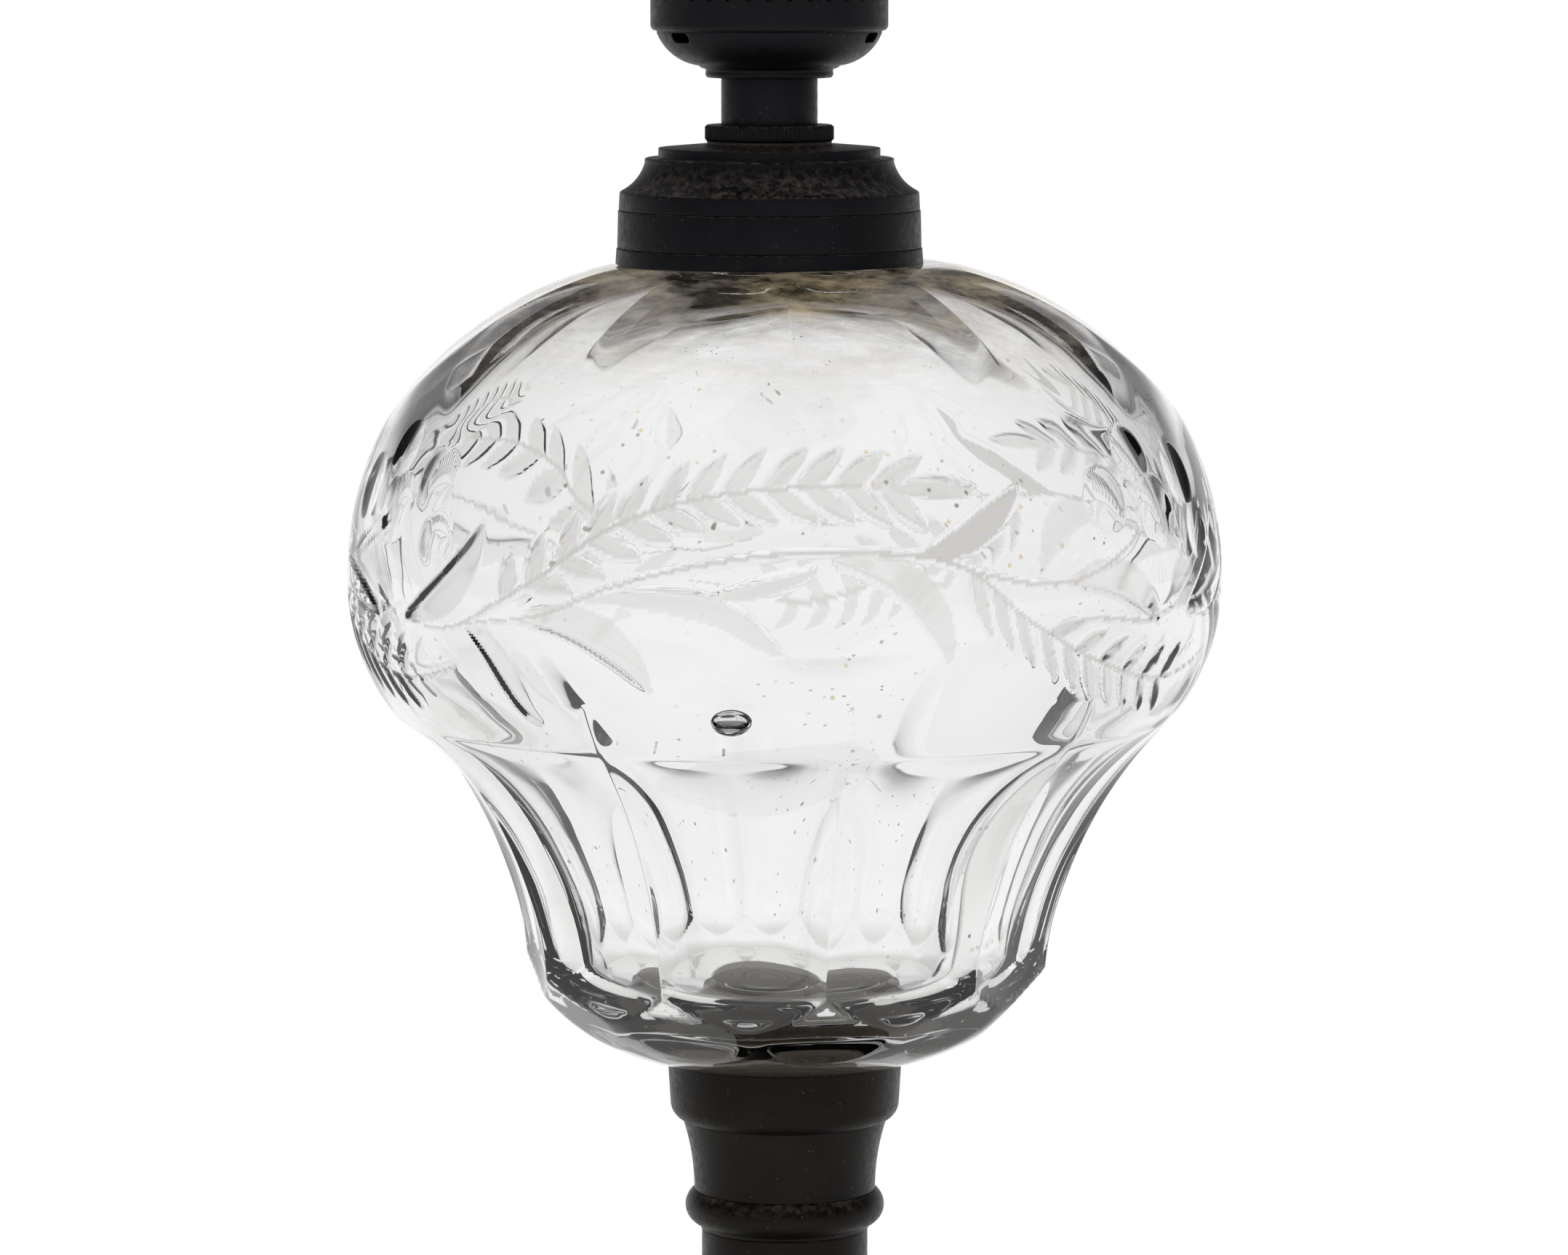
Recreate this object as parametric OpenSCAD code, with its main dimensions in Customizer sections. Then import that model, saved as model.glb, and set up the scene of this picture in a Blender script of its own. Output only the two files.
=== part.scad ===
// Table oil lamp: a cut-glass font on a dark turned stem and a stepped foot,
// with a cemented collar, a flat-wick burner that screws into it and a glass chimney.
// All sizes are in millimetres. The lamp stands on z = 0 and its axis is the Z axis.
// Azimuth 0 is the front, towards -Y, and azimuths grow towards +X.

/* [Foot and stem] */
// Widest diameter of the foot
foot_d = 150; // [130:1:155]
// Height of the foot up to the seat of the stem
foot_h = 40; // [36:1:48]
// Thickness of the baize under the foot
baize_t = 1.6; // [1:0.1:2.5]
// Diameter of the plain shaft of the stem at its top
shaft_d = 30.8; // [26:0.2:34]
// Height at which the font sits on its socket
font_seat = 190; // [170:1:220]
// Diameter of the tie rod that pulls the stem together
rod_d = 6; // [5:0.5:8]

/* [Font] */
// Widest diameter of the blown glass
font_d = 160.5; // [156:0.5:166]
// Thickness of the glass in the belly
glass_t = 4.5; // [3.5:0.1:5.5]
// Thickness of the glass at the waist, before the flutes are cut
waist_glass_t = 6.5; // [6:0.1:8]
// Thickness of the glass at the floor
floor_t = 12.8; // [8:0.1:15]
// Number of cuts in each ring round the font
cuts = 10; // [8:1:12]
// Azimuth of the middle of one shoulder oval
shoulder_turn = -17; // [-18:1:18]
// Azimuth of the middle of one waist flute
flute_turn = -9; // [-18:1:18]
// Azimuth of the middle of one foot oval
foot_oval_turn = 10; // [-18:1:18]
// Greatest depth of a waist flute
flute_depth = 4; // [2:0.1:4.5]
// Depth of a foot oval
foot_oval_depth = 0.85; // [0.5:0.05:1.3]

/* [Collar] */
// How far to the side the collar was cemented off the font's axis
collar_x = -2.8; // [-3:0.1:3]
// Diameter of the collar at its foot
collar_d = 56.4; // [55:0.1:58]
// Diameter of the tapped hole for the burner
thread_d = 22.2; // [22:0.1:22.4]

/* [Burner] */
// Outer diameter of the perforated basket
basket_d = 43.4; // [42:0.1:45]
// Width of the flat wick
wick_w = 13.6; // [12:0.1:13.6]
// Thickness of the flat wick
wick_t = 1.6; // [1.4:0.1:1.8]
// Number of air holes in one row round the basket
air_holes = 36; // [24:1:36]
// Diameter of the winder's knob
knob_d = 13; // [11:0.5:14]

/* [Chimney] */
// Diameter of the chimney's foot
chimney_base_d = 54; // [52:0.5:54]
// Height of the chimney
chimney_h = 190; // [170:1:210]
// Thickness of the chimney's glass
chimney_t = 2; // [1.6:0.1:2.5]

/* [Hidden] */
$fn = 64;

bronze = [0.14, 0.12, 0.12];
black_iron = [0.2, 0.2, 0.2];
steel = [0.55, 0.55, 0.56];
plaster = [0.78, 0.72, 0.6];
glass = [0.84, 0.9, 0.92, 0.45];
brass = [0.42, 0.36, 0.24];
eps = 0.01;

// Points on the arc of radius r from p to q, without q. A positive r has its centre on the left of the way.
function bow(p, q, r, n = 4) =
    let (way = q - p,
         len = norm(way),
         left = [-way.y, way.x] / len,
         c = (p + q) / 2 + left * sign(r) * sqrt(r * r - len * len / 4),
         start = atan2(p.y - c.y, p.x - c.x),
         sweep = sign(r) * 2 * asin(len / 2 / abs(r)))
    [for (i = [0 : n - 1]) c + abs(r) * [cos(start + sweep * i / n), sin(start + sweep * i / n)]];

// Turns a profile of [radius, height] points about the axis.
module turned(profile) rotate_extrude() polygon(profile);

// A plain ring, tube or disc.
module ring(r_out, r_in, z0, z1) {
    difference() {
        translate([0, 0, z0]) cylinder(r = r_out, h = z1 - z0);
        if (r_in > 0) translate([0, 0, z0 - 1]) cylinder(r = r_in, h = z1 - z0 + 2);
    }
}

// Puts its children at an azimuth, with their own +X pointing away from the axis.
module at_azimuth(az) rotate([0, 0, az - 90]) children();

// Foot: levels, from the table up
foot_r = foot_d / 2;
rim_w = 9;
pocket_roof = 12;
boss_under = foot_h - 6;
rod_r = rod_d / 2;
rod_hole_r = rod_r + 0.4;
washer_t = 1.2;
nut_t = 5;
nut_across = 10;

module foot_felt() {
    color([0.1, 0.2, 0.13]) cylinder(r = foot_r - 1.5, h = baize_t);
}

module foot() {
    step_r = foot_r - 6.5;
    neck_r = 34;
    color(bronze) turned(concat(
        [[foot_r - rim_w, baize_t], [foot_r, baize_t]],
        bow([foot_r, 7], [foot_r - 4.5, 11.2], 5),
        [[foot_r - 4.5, 11.2], [step_r, 11.2]],
        bow([step_r, 12.8], [neck_r, foot_h - 8], -46, 7),
        bow([neck_r, foot_h - 8], [neck_r - 4, foot_h - 3], 6, 3),
        [[neck_r - 4, foot_h - 3], [neck_r - 4, foot_h], [9, foot_h], [9, boss_under], [neck_r - 8, boss_under]],
        bow([neck_r - 6, boss_under - 2], [foot_r - rim_w - 1, 9], 50, 6),
        [[foot_r - rim_w - 1, 9], [foot_r - rim_w, 8]]));
}

module foot_weight() {
    color(black_iron) turned([[rod_hole_r, pocket_roof], [13, pocket_roof], [13, 6], [foot_r - rim_w - 3, 6],
        [foot_r - rim_w - 3, 8], [46, 11], [30, 20], [22, 30], [18, boss_under], [rod_hole_r, boss_under]]);
}

module rod_washer() {
    color(steel) ring(9, rod_hole_r, pocket_roof - washer_t, pocket_roof);
}

module rod_nut() {
    nut_top = pocket_roof - washer_t;
    color(steel) difference() {
        translate([0, 0, nut_top - nut_t]) cylinder(r = nut_across / 2 / cos(30), h = nut_t, $fn = 6);
        translate([0, 0, nut_top - nut_t - 1]) cylinder(r = rod_r, h = nut_t + 2);
    }
}

// Stem: levels, from the foot up
shaft_r = shaft_d / 2;
socket_h = 11.2;
socket_under = font_seat - socket_h;
capital_under = font_seat - 24.6;
bead_under = font_seat - 31.9;
base_h = 22;
socket_r = 21.7;
socket_wall = 1.6;
socket_floor = socket_under + 2.2;

module tie_rod() {
    foot_end = pocket_roof - washer_t - nut_t - 1.2;
    color(steel) translate([0, 0, foot_end]) cylinder(r = rod_r, h = socket_floor - foot_end);
}

module stem_base() {
    z = foot_h;
    color(bronze) turned(concat(
        [[rod_hole_r, z], [27.5, z], [27.5, z + 3.6]],
        bow([26.2, z + 3.6], [26.2, z + 10.4], 3.6, 6),
        [[26.2, z + 10.4], [23.6, z + 10.8]],
        bow([23.6, z + 11.6], [20.6, z + 15.4], -4, 4),
        bow([20.6, z + 15.4], [20.2, z + 20.2], 2.7, 5),
        [[20.2, z + 20.2], [shaft_r + 2.2, z + 20.6], [shaft_r + 1.2, z + base_h], [rod_hole_r, z + base_h]]));
}

module stem_shaft() {
    z = foot_h + base_h;
    wall = 2;
    color(bronze) turned([[shaft_r - 1.2, z], [shaft_r + 1.2, z], [shaft_r + 0.9, z + 24],
        [shaft_r, bead_under - 8], [shaft_r, bead_under], [shaft_r - wall, bead_under], [shaft_r - wall, z + 20]]);
}

module stem_bead() {
    color(bronze) turned(concat(
        [[shaft_r - 4, bead_under], [shaft_r + 0.2, bead_under], [shaft_r + 0.4, bead_under + 0.6]],
        bow([shaft_r + 0.6, bead_under + 0.8], [shaft_r + 1.4, capital_under], 3.65, 8),
        [[shaft_r + 1.4, capital_under], [shaft_r - 4, capital_under]]));
}

module stem_capital() {
    color(bronze) turned(concat(
        [[shaft_r - 4, capital_under], [shaft_r + 1.4, capital_under]],
        bow([shaft_r + 1.4, capital_under + 0.4], [shaft_r + 3.6, socket_under], -42, 6),
        [[shaft_r + 3.6, socket_under], [shaft_r - 4, socket_under]]));
}

module font_socket() {
    color(bronze) difference() {
        turned(concat(
            [[0, socket_under]],
            bow([shaft_r + 3.9, socket_under], [socket_r - 0.5, socket_under + 3.1], 3.4, 5),
            [[socket_r - 0.5, socket_under + 3.1], [socket_r, font_seat], [socket_r - socket_wall, font_seat],
             [socket_r - socket_wall, socket_floor + 1.5], [socket_r - socket_wall - 1.5, socket_floor],
             [0, socket_floor]]));
        translate([0, 0, socket_under - 1]) cylinder(r = rod_r, h = 5);
    }
}

// Font: heights over its seat, and the shape of the blown glass before it was cut
font_r = font_d / 2;
peg_r = 12;
peg_h = 8;
seat_r = 18;
foot_curve_r = 34.4;
corner = [48.7, 18.1];
waist_curve_r = 78.2;
low_belly = [font_r - 10.5, 62.7];
widest = [89, 91];
low_belly_r = 37.6;
shoulder_curve_r = 56.3;
glass_neck_r = 22;
neck_under = 147.3;
neck_top = 156;
mouth_r = 16;

function glass_outside() = concat(
    [[0, -peg_h], [peg_r, -peg_h], [peg_r, 0]],
    bow([seat_r, 0], corner, foot_curve_r, 6),
    bow(corner, low_belly, -waist_curve_r, 6),
    bow(low_belly, [font_r, widest[0]], low_belly_r, 5),
    bow([font_r, widest[1]], [glass_neck_r, neck_under], shoulder_curve_r, 14),
    [[glass_neck_r, neck_under], [glass_neck_r, neck_top]]);

function glass_inside() =
    let (in_low = low_belly + (glass_t + waist_glass_t) / 2 * [-0.72, 0.69],
         in_corner = corner + [-waist_glass_t, 4])
    concat(
        [[mouth_r, neck_top], [mouth_r, neck_under - glass_t - 1]],
        bow([mouth_r + 3, neck_under - glass_t], [font_r - glass_t, widest[1]], -(shoulder_curve_r - glass_t), 12),
        bow([font_r - glass_t, widest[0]], in_low, -(low_belly_r - glass_t), 5),
        bow(in_low, in_corner, waist_curve_r + waist_glass_t, 6),
        bow(in_corner, [in_corner.x - 10, floor_t], -11, 4),
        [[in_corner.x - 10, floor_t], [0, floor_t]]);

// Shoulder oval: ground flat across and to a wide arc up and down, on a wheel that turns in the meridian plane.
shoulder_wheel_c = [font_r - 67.5, 73.7];
shoulder_wheel_r = 75.4;
module shoulder_oval() {
    rotate([90, 0, 0]) difference() {
        translate([28, 112, -24]) cube([57, 36, 48]);
        translate([shoulder_wheel_c.x, shoulder_wheel_c.y, -30]) cylinder(r = shoulder_wheel_r, h = 60);
    }
}

// Waist flute: hollowed by a wheel with a slightly rounded rim, deepest at the middle of the waist.
flute_wheel_r = 60.4;
flute_wheel_c = [font_r + 29.2 - flute_depth, 14.7];
flute_rim_r = 100;
module waist_flute() {
    half = 20;
    steps = 5;
    rim = [for (i = [0 : steps])
           let (w = half * (2 * i / steps - 1)) [flute_wheel_r - w * w / 2 / flute_rim_r, w]];
    translate([flute_wheel_c.x, 0, flute_wheel_c.y]) rotate([90, 0, 0])
        rotate_extrude() polygon(concat([[0, -half]], rim, [[0, half]]));
}

// Foot oval: a flat facet on the rounded foot of the glass, its middle facing down and out.
foot_oval_tilt = 44;
module foot_oval() {
    reach = foot_curve_r - foot_oval_depth;
    translate([seat_r, 0, foot_curve_r]) rotate([0, foot_oval_tilt, 0])
        translate([reach, -16, -16]) cube([20, 32, 32]);
}

module ring_of_cuts(turn) {
    for (i = [0 : cuts - 1]) at_azimuth(turn + i * 360 / cuts) children();
}

module font() {
    color(glass) translate([0, 0, font_seat]) difference() {
        turned(concat(glass_outside(), glass_inside()));
        ring_of_cuts(shoulder_turn) shoulder_oval();
        ring_of_cuts(flute_turn) waist_flute();
        ring_of_cuts(foot_oval_turn) foot_oval();
    }
}

module font_cement() {
    color(plaster) difference() {
        turned([[0, socket_floor], [socket_r - socket_wall - 1.5, socket_floor],
            [socket_r - socket_wall, socket_floor + 1.5], [socket_r - socket_wall, font_seat], [0, font_seat]]);
        translate([0, 0, font_seat - peg_h]) cylinder(r = peg_r, h = peg_h + 1);
    }
}

// Collar: heights over its lower edge
collar_z = font_seat + 147;
collar_r = collar_d / 2;
collar_wall = 1.2;
collar_in_r = collar_r - 0.6 - collar_wall;
skirt_under = 0.35;
skirt_h = 3.1;
ring_top = 10;
band_top = 13.2;
cove_top = 19.3;
step_top = 21.3;
cap_top = 22;
thread_r = thread_d / 2;
thread_len = 9.4;

module on_collar() translate([collar_x, 0, collar_z]) children();

module collar_cement() {
    color(plaster) difference() {
        on_collar() translate([0, 0, 0.4]) cylinder(r = collar_in_r, h = 8.2);
        translate([0, 0, font_seat + neck_under - 1]) cylinder(r = glass_neck_r, h = 12);
    }
}

module collar_skirt() {
    color(bronze) on_collar() turned([[collar_in_r, skirt_under], [collar_r, skirt_under], [collar_r - 0.2, skirt_h - 0.15],
        [collar_r - 0.4, skirt_h], [collar_in_r, skirt_h]]);
}

module collar_ring() {
    color(bronze) on_collar() turned([[collar_in_r, skirt_h], [collar_r - 0.5, skirt_h],
        [collar_r - 0.35, skirt_h + 0.15], [collar_r - 0.5, ring_top - 0.15], [collar_r - 0.7, ring_top],
        [collar_in_r, ring_top]]);
}

module collar_cap() {
    roof = band_top - 1;
    cove_in = 23.2;
    color(bronze) on_collar() difference() {
        turned(concat(
            [[collar_in_r, ring_top], [collar_r - 0.8, ring_top], [collar_r - 0.65, ring_top + 0.15],
             [collar_r - 0.8, band_top]],
            bow([collar_r - 1.2, band_top + 0.3], [22.7, cove_top - 0.3], -8.2, 6),
            [[22.8, cove_top], [22.4, cove_top + 0.2], [20.3, cove_top + 0.2], [20.3, step_top],
             [thread_r + 0.9, cap_top], [thread_r - 1, cap_top], [thread_r - 1, cap_top - thread_len],
             [thread_r + 1.6, cap_top - thread_len], [thread_r + 1.6, step_top - 1.6],
             [19, step_top - 1.8], [19, cove_top - 1.4], [21.2, cove_top - 1.6]],
            bow([21.4, cove_top - 2], [collar_in_r - 1, roof], 8.2, 4),
            [[collar_in_r, roof]]));
        translate([0, 0, 5]) cylinder(r = thread_r, h = 20);
    }
}

// Burner: heights over the collar's lower edge, on the collar's axis
gasket_t = 0.5;
flange_z = cap_top + gasket_t;
flange_r = 11.8;
flange_t = 3;
neck_z = flange_z + flange_t;
neck_r = 8.8;
neck_wall = 0.7;
bowl_z = neck_z + 8.6;
bowl_foot_r = 11.7;
bowl_foot_t = 1.3;
basket_z = bowl_z + 8.5;
basket_r = basket_d / 2;
basket_h = 21.3;
basket_wall = 0.7;
gallery_z = basket_z + basket_h;
plug_gap = 0.25;
plug_len = 9;
tube_wall = 0.4;
tube_gap = 0.3;
tube_w = wick_w + 2 * (tube_gap + tube_wall);
tube_t = wick_t + 2 * (tube_gap + tube_wall);
tube_top = gallery_z + 10;
plug_end = flange_z - plug_len;
wick_end = plug_end - 8;
wick_tip = tube_top + 1.2;

// Winder: the spindle lies behind the wick and comes out of the basket on the right
spindle_y = 5.4;
spindle_z = basket_z + 12.5;
spindle_r = 1.1;
spindle_gap = 0.2;
wheel_r = 4.3;
wheel_teeth = 16;
wheel_x = 4.5;
wheel_t = 0.8;
sleeve_r = 2.3;
knob_x = 33;
knob_t = 4.2;

// A disc with pointed teeth on its rim.
function toothed(r_out, r_in, n) =
    [for (i = [0 : 2 * n - 1]) (i % 2 == 0 ? r_out : r_in) * [cos(180 * i / n), sin(180 * i / n)]];

// A flat tube's section as a box through z0 to z1.
module flat_bar(w, t, z0, z1) translate([-w / 2, -t / 2, z0]) cube([w, t, z1 - z0]);

module on_spindle() translate([0, spindle_y, spindle_z]) rotate([0, 90, 0]) children();

module burner_washer() {
    color([0.3, 0.2, 0.13]) on_collar() ring(flange_r - 0.4, thread_r - 0.05, cap_top, flange_z);
}

module burner_base() {
    knurls = 90;
    bore_r = neck_r - neck_wall;
    color(bronze) on_collar() {
        difference() {
            union() {
                translate([0, 0, flange_z + 0.3]) linear_extrude(flange_t - 0.6)
                    polygon(toothed(flange_r, flange_r - 0.3, knurls));
                ring(flange_r - 0.45, 0, flange_z, neck_z);
                ring(thread_r - plug_gap, 0, plug_end, flange_z + eps);
            }
            translate([0, 0, plug_end + 1]) cylinder(r = bore_r, h = 20);
            flat_bar(tube_w, tube_t, plug_end - 1, plug_end + 2);
        }
    }
}

module burner_neck() {
    color(bronze) on_collar() ring(neck_r, neck_r - neck_wall, neck_z, bowl_z);
}

slot_azimuths = [-53, 67, -173];
module burner_bowl() {
    wall = 0.8;
    rim_r = basket_r - basket_wall - 0.45;
    color(bronze) on_collar() difference() {
        turned(concat(
            [[neck_r - neck_wall, bowl_z], [bowl_foot_r - 0.3, bowl_z], [bowl_foot_r, bowl_z + 0.5],
             [bowl_foot_r - 0.1, bowl_z + bowl_foot_t]],
            [[bowl_foot_r + 0.3, bowl_z + bowl_foot_t + 0.4]],
            bow([bowl_foot_r + 1, bowl_z + bowl_foot_t + 0.75], [rim_r, basket_z - 0.4], 9.5, 7),
            [[rim_r, basket_z - 0.4], [rim_r, basket_z + 1.6], [rim_r - wall, basket_z + 1.6],
             [rim_r - wall, basket_z - 0.4]],
            bow([rim_r - wall, basket_z - 0.6], [bowl_foot_r + 0.2, bowl_z + bowl_foot_t + 1.3], -9.8, 7),
            [[bowl_foot_r + 0.2, bowl_z + bowl_foot_t + 1.3], [neck_r - neck_wall, bowl_z + bowl_foot_t + 0.7]]));
        for (az = slot_azimuths) at_azimuth(az)
            translate([rim_r - 3, -2.5, basket_z - 2]) cube([5, 5, 1.9]);
    }
}

air_rows = 4;
air_row_pitch = 4;
air_hole_r = 0.95;
spindle_azimuth = 90 + asin(spindle_y / basket_r);

module burner_basket() {
    hole_z = basket_z + 6.6;
    color(bronze) on_collar() difference() {
        turned(concat(
            bow([basket_r - 1, basket_z], [basket_r, basket_z + 1], 1, 3),
            [[basket_r, basket_z + 1], [basket_r, gallery_z], [basket_r - basket_wall, gallery_z],
             [basket_r - basket_wall, basket_z + 1.2], [basket_r - 1.1, basket_z + 0.7]]));
        for (row = [0 : air_rows - 1], i = [0 : air_holes - 1]) {
            az = (i + (row % 2) / 2) * 360 / air_holes;
            z = hole_z + row * air_row_pitch;
            near_spindle = abs(z - spindle_z) < 4 && cos(2 * az) < cos(2 * (spindle_azimuth - 13)) && cos(az) < 0.1;
            if (!near_spindle) at_azimuth(az) translate([basket_r - 3, 0, z]) rotate([0, 90, 0])
                cylinder(r = air_hole_r, h = 6);
        }
        on_spindle() cylinder(r = sleeve_r, h = 30);
        on_spindle() translate([0, 0, -30]) cylinder(r = spindle_r + spindle_gap, h = 30);
    }
}

module air_diffuser() {
    disc_z = basket_z + 3;
    disc_r = basket_r - basket_wall - 0.05;
    color(brass) on_collar() difference() {
        translate([0, 0, disc_z]) cylinder(r = disc_r, h = 0.6);
        flat_bar(tube_w, tube_t, disc_z - 1, disc_z + 2);
        for (i = [0 : 17]) at_azimuth(i * 20) translate([16, 0, disc_z - 1]) cylinder(r = 1.6, h = 3);
    }
}

module wick_tube() {
    window_h = 7;
    color(brass) on_collar() difference() {
        flat_bar(tube_w, tube_t, plug_end, tube_top);
        flat_bar(wick_w + 2 * tube_gap, wick_t + 2 * tube_gap, plug_end - 1, tube_top + 1);
        for (x = [-wheel_x, wheel_x])
            translate([x - 0.9, 0, spindle_z - window_h / 2]) cube([1.8, 5, window_h]);
    }
}

module wick() {
    color([0.85, 0.8, 0.68]) on_collar() flat_bar(wick_w, wick_t, wick_end, wick_tip);
}

module wick_spindle() {
    color(brass) on_collar() on_spindle() translate([0, 0, -basket_r + 0.6])
        cylinder(r = spindle_r, h = basket_r - 0.6 + knob_x + knob_t - 1.5);
}

module wick_wheels() {
    color(brass) on_collar() for (x = [-wheel_x, wheel_x]) on_spindle() translate([0, 0, x - wheel_t / 2])
        difference() {
            linear_extrude(wheel_t) polygon(toothed(wheel_r, wheel_r - 0.9, wheel_teeth));
            translate([0, 0, -1]) cylinder(r = spindle_r, h = 3);
        }
}

module spindle_sleeve() {
    color(brass) on_collar() on_spindle() translate([0, 0, 17]) difference() {
        cylinder(r = sleeve_r, h = 9);
        translate([0, 0, -1]) cylinder(r = spindle_r + spindle_gap, h = 12);
    }
}

module winder_knob() {
    color(brass) on_collar() on_spindle() difference() {
        union() {
            translate([0, 0, knob_x - 3]) cylinder(r = 2.6, h = 3 + eps);
            translate([0, 0, knob_x]) cylinder(r = knob_d / 2 - 0.7, h = knob_t);
            translate([0, 0, knob_x + 0.5]) linear_extrude(knob_t - 1) polygon(toothed(knob_d / 2, knob_d / 2 - 0.5, 48));
        }
        translate([0, 0, knob_x - 4]) cylinder(r = spindle_r, h = knob_t + 2.5);
        translate([0, 0, knob_x + knob_t - 0.8]) cylinder(r = knob_d / 2 - 2, h = 2);
    }
}

// Gallery: the ring that the chimney stands on, and four springs that hold it
gallery_r = chimney_base_d / 2 + 2.7;
gallery_t = 1;
gallery_rim_h = 4.6;
seat_gap = 0.3;
chimney_z = gallery_z + gallery_t + seat_gap;

module gallery() {
    z = gallery_z;
    color(bronze) on_collar() turned([[basket_r - 1.8, z], [gallery_r - 0.8, z], [gallery_r, z + 0.8],
        [gallery_r, z + gallery_rim_h], [gallery_r - 0.8, z + gallery_rim_h], [gallery_r - 0.8, z + gallery_t],
        [basket_r - 1.8, z + gallery_t]]);
}

module gallery_prongs() {
    spring_t = 0.5;
    width_deg = 15;
    foot_r = gallery_r - 0.8 - spring_t;
    grip_r = chimney_base_d / 2 + seat_gap;
    z0 = gallery_z + gallery_t;
    belly = [foot_r + 1.6, z0 + 9];
    grip = [grip_r, z0 + 14.5];
    lip = [grip_r + 1.8, z0 + 17.5];
    out = [spring_t, 0];
    color(bronze) on_collar() for (i = [0 : 3]) rotate([0, 0, 45 + 90 * i - width_deg / 2])
        rotate_extrude(angle = width_deg) polygon(concat(
            [[foot_r, z0], [foot_r + spring_t, z0]],
            bow([foot_r, z0 + 4.6] + out, belly + out, -24, 3),
            bow(belly + out, grip + out, 20, 4),
            [grip + out, lip + out, lip],
            bow(grip, belly, -20, 4),
            bow(belly, [foot_r, z0 + 4.6], 24, 3),
            [[foot_r, z0 + 4.6]]));
}

module flame_deflector() {
    z0 = gallery_z + gallery_t;
    base_r = basket_r - 0.8;
    wall = 0.6;
    crown = z0 + 14;
    slot_w = tube_w + 4;
    slot_t = 6;
    color(brass) on_collar() difference() {
        turned(concat(
            [[base_r - 2.4, z0], [base_r, z0], [base_r, z0 + wall], [base_r - 1.6, z0 + wall]],
            bow([base_r - 1.8, z0 + 1.6], [7, crown - 0.4], 17, 7),
            [[7, crown - 0.4], [0, crown], [0, crown - wall], [7, crown - 0.4 - wall]],
            bow([7, crown - 0.5 - wall], [base_r - 2.4, z0 + 1.4], -16.6, 7)));
        flat_bar(slot_w, slot_t, z0 + 6, crown + 2);
    }
}

module chimney() {
    base_r = chimney_base_d / 2;
    top_r = 18.5;
    fitter = [base_r, 17];
    swell = [base_r + 2.6, 28];
    waist = [base_r - 0.6, 80];
    throat = [top_r + 1.2, 119];
    mouth = [top_r, chimney_h];
    wall = [chimney_t, 0];
    color([0.88, 0.92, 0.92, 0.35]) on_collar() translate([0, 0, chimney_z]) turned(concat(
        [[base_r - chimney_t, 0], [base_r, 0]],
        bow(fitter, swell, -26, 4),
        bow(swell, waist, 66, 8),
        bow(waist, throat, -110, 6),
        [throat, mouth, mouth - wall],
        bow(throat - wall, waist - wall, 110 + chimney_t, 6),
        bow(waist - wall, swell - wall, -66 + chimney_t, 8),
        bow(swell - wall, fitter - wall, 26 + chimney_t, 4),
        [fitter - wall]));
}

foot_felt();
foot();
foot_weight();
tie_rod();
rod_washer();
rod_nut();
stem_base();
stem_shaft();
stem_bead();
stem_capital();
font_socket();
font_cement();
font();
collar_cement();
collar_skirt();
collar_ring();
collar_cap();
burner_washer();
burner_base();
burner_neck();
burner_bowl();
burner_basket();
air_diffuser();
wick_tube();
wick();
wick_spindle();
wick_wheels();
spindle_sleeve();
winder_knob();
gallery();
gallery_prongs();
flame_deflector();
chimney();
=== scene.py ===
import math

import bmesh
import bpy
import numpy as np
from mathutils import Matrix


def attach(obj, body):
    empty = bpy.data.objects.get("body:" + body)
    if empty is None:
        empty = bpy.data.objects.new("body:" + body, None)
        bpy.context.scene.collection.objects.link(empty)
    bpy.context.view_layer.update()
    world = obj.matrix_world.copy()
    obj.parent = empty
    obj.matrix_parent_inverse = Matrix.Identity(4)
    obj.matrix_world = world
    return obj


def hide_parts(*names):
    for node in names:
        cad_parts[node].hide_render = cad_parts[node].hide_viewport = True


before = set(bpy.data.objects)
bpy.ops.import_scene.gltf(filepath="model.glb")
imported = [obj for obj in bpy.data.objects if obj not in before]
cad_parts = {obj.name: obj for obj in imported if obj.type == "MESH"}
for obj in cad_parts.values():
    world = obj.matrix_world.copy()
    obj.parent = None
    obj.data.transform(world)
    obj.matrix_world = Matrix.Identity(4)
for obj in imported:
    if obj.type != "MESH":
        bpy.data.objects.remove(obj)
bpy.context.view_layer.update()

# Camera. The lamp was photographed with a long lens from the front, a little above the burner's
# height and tipped down, so that its collar and socket show as slightly open ellipses.
MM = 0.001
scene = bpy.context.scene
camera = bpy.data.objects.new("camera", bpy.data.cameras.new("camera"))
camera.data.lens = 150.3
camera.data.sensor_width = 36
camera.location = (-0.13 * MM, -1198.2 * MM, 406.6 * MM)
camera.rotation_euler = (math.radians(83.5), 0, 0)
scene.collection.objects.link(camera)
scene.camera = camera


# Baize under the foot: woollen cloth, woven and felted, glued to the rim of the foot.
# Its short fibres give it a soft pile with slightly lighter and darker flocks.
def linear(hex_colour):
    """An sRGB hex colour as linear RGBA."""
    parts = [int(hex_colour[i:i + 2], 16) / 255 for i in (0, 2, 4)]
    return [p / 12.92 if p <= 0.04045 else ((p + 0.055) / 1.055) ** 2.4 for p in parts] + [1.0]


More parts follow.
